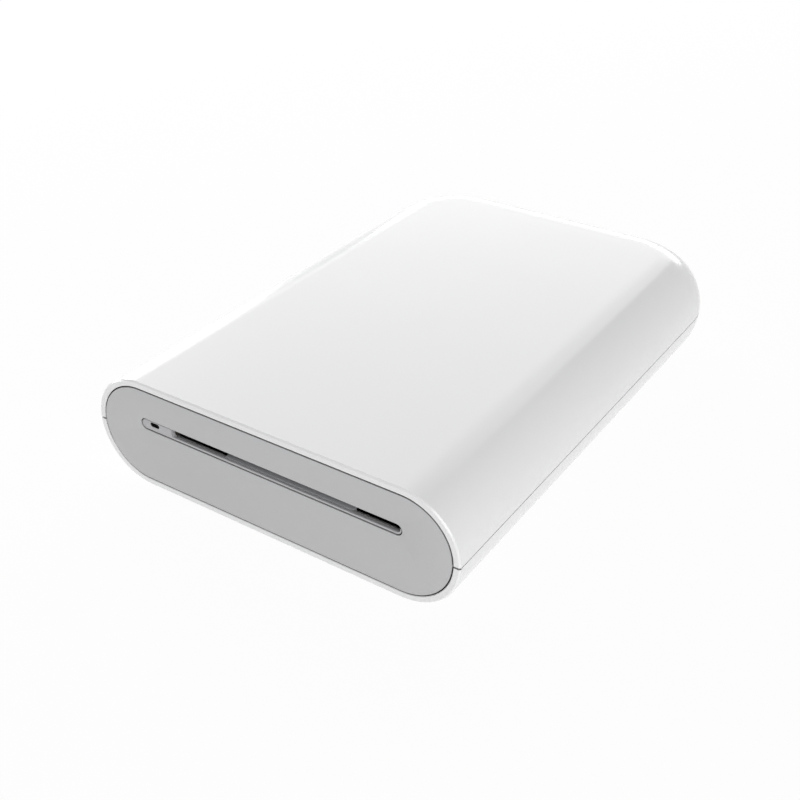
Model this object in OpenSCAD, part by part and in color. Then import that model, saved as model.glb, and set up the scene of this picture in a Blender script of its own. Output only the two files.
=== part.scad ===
// Compact zero-ink photo printer with a hinged top cover.
// +X right, +Y rear, +Z up; the paper slot faces -Y and the feet stand on z = 0.

/* [Body] */
// Width over the two half-round sides
body_w = 84; // [82:1:92]
// Length from the slot panel to the rear
body_l = 124; // [120:1:134]
// Height of the two shells together
body_h = 24; // [23.4:0.2:27]
// Radius of the rear corners, seen from above
corner_r = 20.4; // [17:0.2:24]
// Thickness of the shells
shell_t = 1.4; // [1.2:0.1:1.6]
// Gap between the cover and the bottom case at the seam
seam_gap = 0.16; // [0.1:0.02:0.24]
// Chamfer on the front rim
rim_chamfer = 0.3; // [0.1:0.05:0.4]
// Distance by which the feet lift the case
foot_h = 0.5; // [0.4:0.1:1]
// Diameter of a foot
foot_d = 7; // [5:0.5:9]

/* [Slot panel] */
// Gap all round the slot panel
panel_gap = 0.25; // [0.15:0.05:0.35]
// Thickness of the slot panel
panel_t = 1.6; // [1.4:0.1:1.8]
// Length of the liner's strip at the left of the paper opening
strip_l = 7.6; // [7:0.1:9]
// Height of the slot recess
slot_h = 2.48; // [2.2:0.02:2.8]
// Height of the slot's centre above the seam
slot_rise = 2.87; // [2.6:0.05:3]
// Play of a sheet in the paper opening, on each side
mouth_play = 0.9; // [0.6:0.1:1.1]
// Height of the lip below the paper opening
lip_h = 0.7; // [0.5:0.05:0.9]
// Gap between the slot liner and the panel
liner_gap = 0.12; // [0.08:0.02:0.2]
// Width of the status window
window_w = 2.1; // [1.6:0.1:2.6]
// Height of the status window
window_h = 0.75; // [0.6:0.05:1]

/* [Paper] */
// Room at the left of the paper tray, where the gears stand
left_room = 20; // [19.6:0.1:22]
// Room at the right of the paper tray
right_room = 12.4; // [12.2:0.1:14]
// Room in front of the paper tray, where the rollers stand
front_room = 37.5; // [37:0.1:40]
// Room behind the paper tray, for the hinge, the switch and the socket
rear_room = 9.5; // [9.3:0.1:11]
// Thickness of a sheet, which every nip leaves free
paper_t = 0.28; // [0.22:0.02:0.34]
// Play beside the sheets in the tray
tray_play = 0.4; // [0.3:0.05:0.6]
// Thickness of the tray's floor
tray_floor_t = 1; // [0.8:0.1:1.2]
// Thickness of the tray's walls
tray_wall = 1.3; // [1:0.1:1.3]
// Height of the tray's walls above its floor
tray_wall_h = 5.2; // [4.8:0.1:6]

/* [Hinge] */
// Radius of the hinge knuckles, which lie flush in the rear wall
knuckle_r = 1.4; // [1.3:0.05:1.5]
// Radius of the hinge pin
hinge_pin_r = 0.6; // [0.5:0.05:0.7]
// Width of each of the cover's two knuckles
knuckle_w = 7.8; // [6:0.2:9]
// Side clearance between knuckles
knuckle_gap = 0.2; // [0.15:0.05:0.3]
// Clearance round a turning knuckle
swing_gap = 0.25; // [0.2:0.01:0.35]

/* [Rollers] */
// Radius of the platen's rubber
platen_r = 3.8; // [3.6:0.1:4]
// Radius of the exit roller's tyres
exit_r = 3; // [2.8:0.1:3.2]
// Radius of the pick roller's tyres
pick_r = 3.4; // [3.2:0.1:3.6]
// Radius of the pinch rollers
pinch_r = 2.2; // [2:0.1:2.3]
// Radius of the three driven shafts
shaft_r = 1.5; // [1.3:0.1:1.6]
// Radius of the pinch roller's shaft and of the head's trunnions
thin_shaft_r = 1; // [0.8:0.1:1.1]
// Radial running clearance of a shaft in its bore
run_gap = 0.04; // [0.02:0.01:0.06]

/* [Gears] */
// Module of the gear teeth
gear_mod = 0.5; // [0.5:0.01:0.51]
// Width of a gear
gear_w = 2.2; // [1.8:0.1:2.4]
// Tooth thickness taken off for backlash
backlash = 0.12; // [0.08:0.02:0.16]
// Teeth on the motor pinion
pinion_n = 10; // [10:1:11]
// Teeth on the large side of the reduction gear
reduction_n = 28; // [27:1:28]
// Teeth on the small side of the reduction gear
reduction_small_n = 12; // [12:1:13]
// Teeth on the pick gear
pick_n = 22; // [21:1:22]
// Teeth on the rear idler
rear_idler_n = 16; // [16:1:17]
// Teeth on the platen gear
platen_n = 24; // [23:1:24]
// Teeth on the front idler
front_idler_n = 12; // [12:1:13]
// Teeth on the exit gear
exit_n = 19; // [18:1:19]

/* [Controls] */
// Width of the power button
button_w = 6; // [5:0.2:7]
// Height of the power button
button_h = 2.4; // [2:0.1:2.8]
// Travel of the power button
button_travel = 0.4; // [0.3:0.05:0.5]
// Distance of the power button to the left of the body's centre
button_x = 14; // [12:0.5:16]
// Distance of the charging socket to the right of the body's centre
usb_x = 11; // [9:0.5:13]

/* [Hidden] */
$fn = 64;
tiny = 0.01;

white = "#f2f2f3";
panel_grey = "#b7b7b8";
liner_grey = "#c6c6c8";
steel = "#b9bcc0";
dark = "#3a3b3e";
rubber = "#2a2a2b";
gear_white = "#e9e6dc";

// Outline of the body
half_w = body_w / 2;
front_y = -body_l / 2;
rear_y = body_l / 2;
edge_r = body_h / 2;
edge_x = half_w - edge_r;
corner_x = half_w - corner_r;
corner_y = rear_y - corner_r;
seam_z = foot_h + edge_r;
floor_z = foot_h + shell_t;
ceiling_z = foot_h + body_h - shell_t;

// The paper tray fills the body between its four rooms, and takes sheets of 50.8 by 76.2 mm
tray_x0 = -half_w + left_room;
tray_x1 = half_w - right_room;
tray_front_y = front_y + front_room;
tray_rear_y = rear_y - rear_room;
paper_w = tray_x1 - tray_x0 - 2 * tray_play;
paper_x = (tray_x0 + tray_x1) / 2;

// Slot panel and slot
panel_back_y = front_y + panel_t;
panel_chamfer = 0.15;
bulkhead_t = 1.2;
bulkhead_back_y = panel_back_y + bulkhead_t;
slot_z = seam_z + slot_rise;
slot_beyond_paper = 1.2;
liner_end_wall = 0.36;
mouth_w = paper_w + 2 * mouth_play;
slot_l = mouth_w + strip_l + liner_end_wall + 2 * liner_gap;
slot_x = paper_x + paper_w / 2 + slot_beyond_paper - slot_l / 2;
liner_l = slot_l - 2 * liner_gap;
liner_h = slot_h - 2 * liner_gap;
liner_y = front_y + 0.12;
liner_flange_t = 0.8;
mouth_x1 = slot_x + liner_l / 2 - liner_end_wall;
mouth_x0 = mouth_x1 - mouth_w;
window_x = mouth_x0 - strip_l * 0.57;
window_z = slot_z + 0.42;
mouth_z0 = slot_z - liner_h / 2 + lip_h;

// Paper path: the sheets leave the nips on the plane z = paper_z
paper_z = slot_z + 0.23;
guide_top_z = paper_z - 0.2;
guide_t = 0.8;
tray_z = seam_z - 1.6;
tray_top_z = tray_z + tray_floor_t;

// Roller frame: two side plates of sheet steel joined by a web
frame_t = 0.8;
frame_gap = 0.5;
left_in_x = tray_x0 - tray_wall - frame_gap;
left_out_x = left_in_x - frame_t;
right_in_x = tray_x1 + tray_wall + 0.3;
right_out_x = right_in_x + frame_t;
frame_front_y = panel_back_y + 2.9;
frame_top_z = ceiling_z - 1.7;
web_z = floor_z + 3.1;
bridge_z = frame_top_z;

// Shaft centres as [y, z], counted forward from the tray's front edge
pick_back = 4.5;
platen_fore = 14.5;
exit_fore = 27.5;
head_pivot_fore = 7.4;
motor_back = 18.5;
platen_c = [tray_front_y - platen_fore, paper_z - platen_r];
exit_c = [tray_front_y - exit_fore, paper_z - exit_r];
pick_c = [tray_front_y + pick_back, tray_top_z + 0.4 - pick_r];
pinch_c = [exit_c[0], paper_z + paper_t + pinch_r];
head_c = [tray_front_y - head_pivot_fore, paper_z + 2];
// The motor's flattened can fills the height under the tray
motor_low_z = floor_z + 0.5;
motor_high_z = tray_z - 0.3;
motor_c = [tray_front_y + motor_back, (motor_low_z + motor_high_z) / 2];
motor_ear = 7.4;
ramp_front_y = platen_c[0] + platen_r + 1.4;
frame_left_rear_y = motor_c[0] + motor_ear + 0.1;
frame_right_rear_y = pick_c[0] + 7;
frame_low_z = floor_z + 0.6;
function pitch_r(n) = n * gear_mod / 2;
function span(a, b) = norm(b - a);
// Point at distance ra from a and rb from b, on the left (side 1) or right (side -1) of the line a to b
function joined(a, b, ra, rb, side) =
    let (d = span(a, b), u = (b - a) / d, along = (ra * ra - rb * rb + d * d) / (2 * d),
         off = sqrt(ra * ra - along * along))
    a + along * u + side * off * [-u[1], u[0]];
front_idler_c = joined(platen_c, exit_c, pitch_r(platen_n + front_idler_n),
                       pitch_r(exit_n + front_idler_n), 1);
rear_idler_c = joined(platen_c, pick_c, pitch_r(platen_n + rear_idler_n),
                      pitch_r(pick_n + rear_idler_n), 1);
reduction_c = joined(pick_c, motor_c, pitch_r(pick_n + reduction_small_n),
                     pitch_r(pinion_n + reduction_n), 1);

// Gear planes, counted outwards from the left side plate
gear_gap = 0.5;
plane_a_x = left_out_x - gear_gap - gear_w;
plane_b_x = plane_a_x - gear_gap - gear_w;
gear_bore_r = 1;
shaft_over = 0.8;
// Angle of a tooth of gear b that meshes with gear a, whose tooth stands at angle phi
function heading(a, b) = atan2(b[1] - a[1], b[0] - a[0]);
function mesh(phi, na, nb, psi) = psi + 180 + 360 / nb * (0.5 - (phi - psi) / (360 / na));
pick_phi = 90;
reduction_small_phi = mesh(pick_phi, pick_n, reduction_small_n, heading(pick_c, reduction_c));
pinion_phi = mesh(reduction_small_phi, reduction_n, pinion_n, heading(reduction_c, motor_c));
rear_idler_phi = mesh(pick_phi, pick_n, rear_idler_n, heading(pick_c, rear_idler_c));
platen_phi = mesh(rear_idler_phi, rear_idler_n, platen_n, heading(rear_idler_c, platen_c));
front_idler_phi = mesh(platen_phi, platen_n, front_idler_n, heading(platen_c, front_idler_c));
exit_phi = mesh(front_idler_phi, front_idler_n, exit_n, heading(front_idler_c, exit_c));

// Hinge
hinge_y = rear_y - knuckle_r;
hinge_zone_x = corner_x + sqrt(corner_r * corner_r - pow(corner_r - knuckle_r, 2)) + 0.3;
relief_z = knuckle_r + swing_gap;
base_mid_w = 24;
knuckle_in_x = base_mid_w / 2 + knuckle_gap;
knuckle_out_x = knuckle_in_x + knuckle_w;
ridge_end_x = knuckle_out_x + knuckle_gap + 2.6;

// Lip of the bottom case inside the cover, and the deck inside the lip
lip_gap = 0.3;
lip_t = 0.9;
lip_up = 1.2;
lip_down = 3.5;
lip_step = 0.5;
deck_inset = shell_t + lip_gap + lip_t + 0.6;
deck_z = seam_z + 0.1;
deck_t = 1;
deck_left_y = frame_left_rear_y + 1.5;
deck_right_y = frame_right_rear_y + 3;
rear_screw_x = half_w - 8;
deck_screw_xy = [[-half_w + 7, deck_left_y + 5.5], [half_w - 6, deck_right_y + 10],
                 [-rear_screw_x, corner_y], [rear_screw_x, corner_y]];
screw_r = 0.95;
deck_screw_l = 5;
board_screw_l = 3.4;
frame_screw_l = 3.2;
screw_head_r = 1.8;
screw_head_h = 1;

// Closure magnets
magnet_r = 2;
magnet_t = 1.5;
magnet_in = 5.6;
magnet_back = 7.2;
magnet_x = half_w - magnet_in;
magnet_y = front_y + magnet_back;
magnet_gap = 0.3;

// Electronics
board_z = floor_z + 3.8;
board_t = 1;
board_top_z = board_z + board_t;
battery_at = [left_in_x + 5.8, deck_left_y + 3.5];
battery = [right_out_x - 2 - battery_at[0], rear_y - 24.5 - battery_at[1], tray_z - floor_z - 1];
usb_size = [7.5, 5.6, 2.6];
usb_front_y = rear_y - 2.1;
usb_z = board_top_z + usb_size[2] / 2;
switch_h = tray_z - board_top_z - 1.2;
button_z = board_top_z + switch_h / 2;
button_face_y = rear_y - 0.5;
cut_gap = 0.25;

// Pressure plate on the cover
plate_t = 1.2;
plate_side = 5.4;
plate_pin_back = 26;
plate_pin_down = 3.4;
plate_w = paper_w - 2 * plate_side;
plate_pin_c = [tray_front_y + plate_pin_back, ceiling_z - plate_pin_down];
plate_front_y = tray_front_y + 1.5;
plate_front_z = tray_top_z + 1.1;
plate_pin_r = 0.8;
plate_len = span(plate_pin_c, [plate_front_y, plate_front_z]);
plate_tilt = atan2(plate_pin_c[1] - plate_front_z, plate_pin_c[0] - plate_front_y);
ear_gap = 0.4;
ear_t = 2;
ear_span = plate_w / 2 + ear_gap + ear_t;
plate_spring_x = 11;
plate_spring_back = 13;
spring_r = 2;

// Print head
head_side = 1.4;
head_l = paper_w - 2 * head_side;
head_z = paper_z + paper_t + 0.04;
head_ceramic_t = 0.8;
head_fore = 3.8;
head_aft = 3;
sink_z = head_z + head_ceramic_t;
sink_t = 1.9;
sink_x0 = left_in_x + 2;
sink_x1 = right_in_x - 2;
head_spring_x = 15;
head_spring_y = platen_c[0] - 2;
head_lift_gap = 0.45;

module along_x(x0, x1) {
    // Places a [y, z] outline and extrudes it from x0 to x1
    translate([x0, 0, 0]) rotate([90, 0, 90]) linear_extrude(x1 - x0) children();
}

module rod_x(c, r, x0, x1) {
    translate([x0, c[0], c[1]]) rotate([0, 90, 0]) cylinder(r = r, h = x1 - x0);
}

module rod_y(x, z, r, y0, y1) {
    translate([x, y0, z]) rotate([-90, 0, 0]) cylinder(r = r, h = y1 - y0);
}

module block(p0, p1) {
    translate(p0) cube(p1 - p0);
}

module stadium_bar(l, h, y0, y1, z) {
    // Bar along Y with a stadium section of overall length l and height h
    c = (l - h) / 2;
    for (s = [-1, 1]) rod_y(s * c, z, h / 2, y0, y1);
    block([-c, y0, z - h / 2], [c, y1, z + h / 2]);
}

module stadium_taper(l0, h0, l1, h1, y0, y1, z) {
    // The same bar whose size changes evenly from one end to the other; l - h stays equal
    c = (l0 - h0) / 2;
    for (s = [-1, 1])
        translate([s * c, y0, z]) rotate([-90, 0, 0]) cylinder(r1 = h0 / 2, r2 = h1 / 2, h = y1 - y0);
    translate([0, 0, z]) along_x(-c, c)
        polygon([[y0, -h0 / 2], [y1, -h1 / 2], [y1, h1 / 2], [y0, h0 / 2]]);
}

module edge_profile(r) {
    // Radial section of a rear corner
    c = corner_r - edge_r;
    translate([0, -r]) square([c, 2 * r]);
    intersection() {
        translate([c, 0]) circle(r);
        translate([c, -r]) square([r, 2 * r]);
    }
}

module body_form(inset, y0) {
    // The body's outer form drawn in by inset, with its flat front at y0
    r = edge_r - inset;
    stadium_bar(body_w - 2 * inset, 2 * r, y0, corner_y, seam_z);
    translate([0, 0, seam_z]) {
        along_x(-corner_x, corner_x) {
            translate([corner_y, -r]) square([corner_r - edge_r, 2 * r]);
            intersection() {
                translate([rear_y - edge_r, 0]) circle(r);
                translate([rear_y - edge_r, -r]) square([r, 2 * r]);
            }
        }
        translate([corner_x, corner_y, 0]) rotate_extrude(angle = 90) edge_profile(r);
        translate([-corner_x, corner_y, 0]) rotate([0, 0, 90]) rotate_extrude(angle = 90) edge_profile(r);
    }
}

module plan(inset, y0) {
    // Outline of the body seen from above, drawn in by inset
    r = corner_r - inset;
    translate([-half_w + inset, y0]) square([body_w - 2 * inset, corner_y - y0]);
    translate([-corner_x, corner_y - tiny]) square([2 * corner_x, r + tiny]);
    for (s = [-1, 1]) translate([s * corner_x, corner_y]) circle(r);
}

module front_chamfer(l, h, c) {
    // Cutter for a chamfer of width c round the front edge of a stadium bar of size l by h
    difference() {
        block([-l, front_y - 1, seam_z - h], [l, front_y + 2 * c, seam_z + h]);
        stadium_taper(l - 2 * c - 2, h - 2 * c - 2, l + 2 * c, h + 2 * c, front_y - 1, front_y + 2 * c, seam_z);
    }
}

module shell_half(z0, z1) {
    // Half of the shell between two heights, with the front rim's chamfers
    c = rim_chamfer;
    rim_l = body_w - 2 * shell_t;
    rim_h = body_h - 2 * shell_t;
    intersection() {
        difference() {
            body_form(0, front_y);
            front_chamfer(body_w, body_h, c);
            body_form(shell_t, front_y - 1);
            stadium_taper(rim_l + 2 * c + 2, rim_h + 2 * c + 2, rim_l - 2 * c, rim_h - 2 * c,
                          front_y - 1, front_y + 2 * c, seam_z);
        }
        block([-body_w, front_y - 1, z0], [body_w, rear_y + 1, z1]);
    }
}

module tooth_outline(n) {
    // Spur gear outline with involute flanks, one tooth centred on the first axis
    rp = pitch_r(n);
    rb = rp * cos(20);
    ra = rp + gear_mod;
    rf = rp - 1.2 * gear_mod;
    r0 = max(rb, rf);
    half = 90 / n - backlash / 2 / rp * 180 / PI;
    inv = function(r) let (t = acos(min(1, rb / r))) tan(t) * 180 / PI - t;
    base_half = half + inv(rp);
    steps = 4;
    points = [for (i = [0:n - 1]) let (a = 360 / n * i) each concat(
        [[rf * cos(a - base_half - 1), rf * sin(a - base_half - 1)]],
        [for (k = [0:steps]) let (r = r0 + (ra - r0) * k / steps, w = base_half - inv(r))
            [r * cos(a - w), r * sin(a - w)]],
        [for (k = [steps:-1:0]) let (r = r0 + (ra - r0) * k / steps, w = base_half - inv(r))
            [r * cos(a + w), r * sin(a + w)]],
        [[rf * cos(a + base_half + 1), rf * sin(a + base_half + 1)]])];
    polygon(points);
}

module gear(c, n, phi, x0, bore) {
    translate([x0, c[0], c[1]]) rotate([90, 0, 90]) linear_extrude(gear_w) difference() {
        rotate(phi) tooth_outline(n);
        circle(bore);
    }
}

module screw(p, len) {
    // Pan-head screw pointing down, its head resting on height p[2]
    translate(p) {
        translate([0, 0, -len]) cylinder(r = screw_r, h = len + tiny);
        difference() {
            cylinder(r = screw_head_r, h = screw_head_h);
            translate([0, 0, screw_head_h - 0.5]) {
                translate([-1.1, -0.2, 0]) cube([2.2, 0.4, 1]);
                translate([-0.2, -1.1, 0]) cube([0.4, 2.2, 1]);
            }
        }
    }
}

module boss(x, y, z0, z1, r, hole_r, hole_l) {
    difference() {
        translate([x, y, z0]) cylinder(r = r, h = z1 - z0);
        translate([x, y, z1 - hole_l]) cylinder(r = hole_r, h = hole_l + 1);
    }
}

// Bottom case
web_screw_xy = [[left_in_x + 6, frame_front_y + 4], [right_in_x - 6, frame_front_y + 4]];
battery_rib_t = 1;

// Main board: a wing along the left side and a strip behind the battery
board_left_x = -half_w + 5.5;
board_right_x = usb_x + 13;
board_neck_x = battery_at[0] - 2.5;
board_front_y = battery_at[1] + 7.5;
board_mid_y = battery_at[1] + battery[1] + 2.5;
board_rear_y = rear_y - 5.7;
wing_rear_y = corner_y - 5.1;
board_post_xy = [[board_left_x + 2.5, board_front_y + 3], [-corner_x + 0.6, board_rear_y - 5.3],
                 [board_right_x - 6, board_rear_y - 4.3]];

module lip_ring(inset0, inset1, z0, z1) {
    translate([0, 0, z0]) linear_extrude(z1 - z0) difference() {
        plan(inset0, bulkhead_back_y - tiny);
        plan(inset1, front_y);
    }
}

module case_lip() {
    difference() {
        union() {
            lip_ring(shell_t - 0.2, shell_t + lip_gap + lip_t, seam_z - lip_down, seam_z - lip_step);
            lip_ring(shell_t + lip_gap, shell_t + lip_gap + lip_t, seam_z - lip_step - tiny, seam_z + lip_up);
        }
        block([-ridge_end_x - 0.4, rear_y - 6, seam_z - lip_down - 1], [ridge_end_x + 0.4, rear_y, ceiling_z]);
    }
}

module hinge_ridge(x0, x1) {
    rod_x([hinge_y, seam_z], knuckle_r, x0, x1);
    block([x0, hinge_y - knuckle_r, seam_z - relief_z - 1.5], [x1, hinge_y + knuckle_r - 0.2, seam_z]);
}

module port_cut() {
    block([usb_x - usb_size[0] / 2 - cut_gap, rear_y - 8, usb_z - usb_size[2] / 2 - cut_gap],
          [usb_x + usb_size[0] / 2 + cut_gap, rear_y + 1, usb_z + usb_size[2] / 2 + cut_gap]);
}

module bottom_case() color(white) {
    rim_z = seam_z - seam_gap / 2;
    difference() {
        union() {
            difference() {
                shell_half(-1, rim_z);
                for (s = [-1, 1]) {
                    x0 = s > 0 ? knuckle_in_x : -knuckle_out_x;
                    block([x0 - knuckle_gap, rear_y - 5, seam_z - relief_z],
                          [x0 + knuckle_w + knuckle_gap, rear_y + 1, seam_z + 1]);
                }
            }
            intersection() {
                stadium_bar(body_w - shell_t, body_h - shell_t, panel_back_y, bulkhead_back_y, seam_z);
                block([-half_w, panel_back_y, 0], [half_w, bulkhead_back_y, rim_z]);
            }
            case_lip();
            hinge_ridge(-base_mid_w / 2, base_mid_w / 2);
            for (s = [-1, 1])
                hinge_ridge(s > 0 ? knuckle_out_x + knuckle_gap : -ridge_end_x,
                            s > 0 ? ridge_end_x : -knuckle_out_x - knuckle_gap);
            intersection() {
                body_form(shell_t / 2, front_y + 1);
                union() {
                    for (p = deck_screw_xy) boss(p[0], p[1], 0, deck_z, 2.2, screw_r, 5);
                    for (p = web_screw_xy) boss(p[0], p[1], 0, web_z, 2.2, screw_r, 3);
                    for (p = board_post_xy) boss(p[0], p[1], 0, board_z, 2, screw_r, 3);
                    for (s = [-1, 1]) translate([s * magnet_x, magnet_y, 0])
                        cylinder(r = magnet_r + 1, h = seam_z - magnet_gap / 2);
                    for (x = [battery_at[0] - battery_rib_t - 0.3, battery_at[0] + battery[0] + 0.3])
                        block([x, battery_at[1] + 6, 1], [x + battery_rib_t, battery_at[1] + battery[1] - 6, 5]);
                    for (y = [battery_at[1] - battery_rib_t - 0.3, battery_at[1] + battery[1] + 0.3])
                        block([battery_at[0] + 8, y, 1], [battery_at[0] + battery[0] - 8, y + battery_rib_t, 5]);
                }
            }
        }
        rod_x([hinge_y, seam_z], hinge_pin_r + run_gap, -ridge_end_x - 1, ridge_end_x + 1);
        for (s = [-1, 1]) translate([s * magnet_x, magnet_y, seam_z - magnet_gap / 2 - magnet_t - 0.1])
            cylinder(r = magnet_r + 0.05, h = 4);
        port_cut();
        stadium_at(-button_x, button_z, button_w + 2 * cut_gap, button_h + 2 * cut_gap, rear_y - 8, rear_y + 1);
        for (p = foot_xy) translate([p[0], p[1], -1]) cylinder(d = foot_d + 0.2, h = foot_h + 0.6 + 1);
    }
}

module stadium_at(x, z, l, h, y0, y1) {
    // A stadium bar whose centre stands at x
    translate([x, 0, 0]) stadium_bar(l, h, y0, y1, z);
}

foot_x = edge_x - 5;
foot_xy = [for (x = [-foot_x, foot_x], y = [front_y + 14, rear_y - 17]) [x, y]];
module rubber_feet() color("#d9d9da")
    for (p = foot_xy) translate([p[0], p[1], 0]) {
        cylinder(d = foot_d, h = foot_h + 0.6);
    }

module front_panel() color(panel_grey) {
    inset = shell_t + panel_gap;
    l = body_w - 2 * inset;
    h = body_h - 2 * inset;
    panel_rib_x = edge_x - 1;
    difference() {
        union() {
            stadium_bar(l, h, front_y, panel_back_y, seam_z);
            // Rib that stands on the bulkhead's top edge and stiffens the upper half
            block([-panel_rib_x, panel_back_y - panel_t / 3, seam_z], [panel_rib_x, bulkhead_back_y, seam_z + 0.9]);
        }
        front_chamfer(l, h, panel_chamfer);
        stadium_at(slot_x, slot_z, slot_l, slot_h, front_y - 1, bulkhead_back_y + 1);
    }
}

module slot_liner() color(liner_grey) {
    flange_y = panel_back_y + 0.02;
    difference() {
        union() {
            stadium_at(slot_x, slot_z, liner_l, liner_h, liner_y, flange_y + tiny);
            stadium_at(slot_x, slot_z, liner_l + 3, liner_h + 1.6, flange_y, flange_y + liner_flange_t);
        }
        // Mouth, open upwards to the top of the liner, over a floor that falls inwards
        along_x(mouth_x0, mouth_x1)
            polygon([[liner_y - 1, mouth_z0], [liner_y + 0.35, mouth_z0], [flange_y + liner_flange_t + 1,
                      mouth_z0 - 0.45], [flange_y + liner_flange_t + 1, slot_z + liner_h / 2 - 0.25],
                     [liner_y - 1, slot_z + liner_h / 2 - 0.25]]);
        block([window_x - window_w / 2 - 0.05, liner_y - 1, window_z - window_h / 2 - 0.05],
              [window_x + window_w / 2 + 0.05, flange_y + 2, window_z + window_h / 2 + 0.05]);
    }
}

module status_lens() color("#151517")
    block([window_x - window_w / 2, liner_y + 0.06, window_z - window_h / 2],
          [window_x + window_w / 2, panel_back_y + liner_flange_t + 0.1, window_z + window_h / 2]);

module indicator_board() color("#2f6b45") {
    x0 = window_x - 8;
    x1 = window_x + 1.6;
    led_y = panel_back_y + liner_flange_t + 0.12;
    difference() {
        block([x0, bulkhead_back_y, seam_z - 4.5], [x1, bulkhead_back_y + 0.8, seam_z + 5.5]);
        rod_y(x0 + 2, seam_z - 2.5, 0.8, bulkhead_back_y - 1, bulkhead_back_y + 2);
    }
    block([window_x - 0.8, led_y, window_z - 0.6], [window_x + 0.8, bulkhead_back_y + tiny, window_z + 0.6]);
}

// Roller frame
module frame_side(right) {
    // Outline of a side plate as [y, z]
    rear = right ? frame_right_rear_y : frame_left_rear_y;
    low_front_y = platen_c[0] - 6;
    difference() {
        polygon([[frame_front_y, web_z], [low_front_y, web_z], [low_front_y, frame_low_z],
                 [rear, frame_low_z], [rear, tray_z + 2], [ramp_front_y + 5, frame_top_z],
                 [frame_front_y + 3, frame_top_z], [frame_front_y, frame_top_z - 3]]);
        for (c = [platen_c, exit_c, pick_c]) translate(c) circle(shaft_r + 1);
        translate(head_c) circle(thin_shaft_r + run_gap);
        translate(tie_c) circle(1.2);
    }
}

tie_c = [platen_c[0] + 9.5, floor_z + 3];
motor_boss_r = 1.6;
module roller_frame() color(steel) {
    difference() {
        union() {
            along_x(left_out_x, left_in_x) difference() {
                union() {
                    frame_side(false);
                    translate(reduction_c) circle(2);
                }
                translate(motor_c) circle(motor_boss_r + 0.05);
                for (s = [-1, 1]) translate(motor_c + [s * motor_ear, 0]) circle(screw_r);
                for (c = [front_idler_c, rear_idler_c, reduction_c]) translate(c) circle(stud_seat_r);
            }
            along_x(right_in_x, right_out_x) frame_side(true);
            block([left_out_x, frame_front_y, web_z], [right_out_x, platen_c[0] - 6, web_z + frame_t]);
        }
        for (p = web_screw_xy) translate([p[0], p[1], 0]) cylinder(r = screw_r + 0.1, h = 20);
    }
}

module spring_bridge() color(steel) {
    y0 = head_spring_y - 3;
    y1 = head_spring_y + 3;
    block([left_out_x, y0, bridge_z], [right_out_x, y1, bridge_z + frame_t]);
    for (s = [-1, 1]) translate([paper_x + s * head_spring_x, head_spring_y, bridge_z - 1.2])
        cylinder(r = 0.9, h = 1.2 + tiny);
}

module tie_rod() color(steel) rod_x(tie_c, 1.18, left_out_x, right_out_x);

module shaft_bushes() color("#d9b36a")
    for (c = [platen_c, exit_c, pick_c], side = [0, 1]) {
        in_x = side == 0 ? left_in_x : right_in_x - 0.4;
        difference() {
            union() {
                rod_x(c, shaft_r + 0.98, side == 0 ? left_out_x : right_in_x, side == 0 ? left_in_x : right_out_x);
                rod_x(c, shaft_r + 1.6, in_x, in_x + 0.4);
            }
            rod_x(c, shaft_r + run_gap, left_out_x - 1, right_out_x + 1);
        }
    }

stud_seat_r = 0.8;
stud_clear = 0.15;
module gear_studs() color(steel) {
    for (c = [front_idler_c, rear_idler_c]) stud(c, plane_a_x - stud_clear);
    stud(reduction_c, plane_b_x - stud_clear);
}

module stud(c, end_x) {
    // Pin seated in the side plate, with a shoulder and a head that keep the gear on
    rod_x(c, stud_seat_r - 0.02, left_out_x, left_in_x);
    rod_x(c, gear_bore_r, end_x, left_out_x);
    rod_x(c, gear_bore_r + 0.5, left_out_x - gear_gap + stud_clear, left_out_x);
    rod_x(c, gear_bore_r + 0.5, end_x - 0.5, end_x);
}

exit_tyre_x = [-14.8, 0, 14.8];
exit_tyre_w = 6;
module guide_windows(c, r, z0, z1, x_list, w) {
    for (x = x_list) block([paper_x + x - w / 2 - 0.5, c[0] - r, z0], [paper_x + x + w / 2 + 0.5, c[0] + r, z1]);
}

tongue_x0 = paper_x - 13.8;
tongue_x1 = paper_x + 15.5;
module exit_guide() color("#5d5e60") {
    y0 = bulkhead_back_y - 0.2;
    y1 = platen_c[0] - platen_r - 0.9;
    z0 = guide_top_z - guide_t;
    difference() {
        union() {
            block([left_in_x, y0, z0], [right_in_x, y1, guide_top_z]);
            block([tongue_x0, panel_back_y + liner_flange_t + 0.1, z0], [tongue_x1, y0 + tiny, guide_top_z]);
            for (x = [left_in_x, right_in_x - 1])
                block([x, frame_front_y + 1, web_z + frame_t], [x + 1, y1, z0 + tiny]);
        }
        guide_windows(exit_c, exit_r + 0.3, z0 - 1, guide_top_z + 1, exit_tyre_x, exit_tyre_w);
        rod_x(exit_c, shaft_r + 1.9, left_in_x - 1, left_in_x + 2);
        rod_x(exit_c, shaft_r + 1.9, right_in_x - 2, right_in_x + 1);
    }
}

module upper_guide() color(dark) {
    y0 = panel_back_y + liner_flange_t + 0.4;
    y1 = platen_c[0] - platen_r - 4.6;
    z0 = paper_z + 1;
    difference() {
        union() {
            block([left_in_x, y0, z0], [right_in_x, y1, z0 + guide_t]);
            for (x = [left_in_x, right_in_x - 1])
                block([x, frame_front_y + 1, z0], [x + 1, y1, frame_top_z - 0.6]);
        }
        guide_windows(pinch_c, pinch_r + 0.3, z0 - 1, z0 + 2, exit_tyre_x, exit_tyre_w);
        rod_x(pinch_c, thin_shaft_r + run_gap, left_in_x - 1, right_in_x + 1);
    }
}

module deck_outline() {
    difference() {
        plan(deck_inset, deck_right_y);
        translate([-body_w, deck_right_y - 1]) square([body_w + tray_x0, deck_left_y - deck_right_y + 1]);
    }
}

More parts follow.
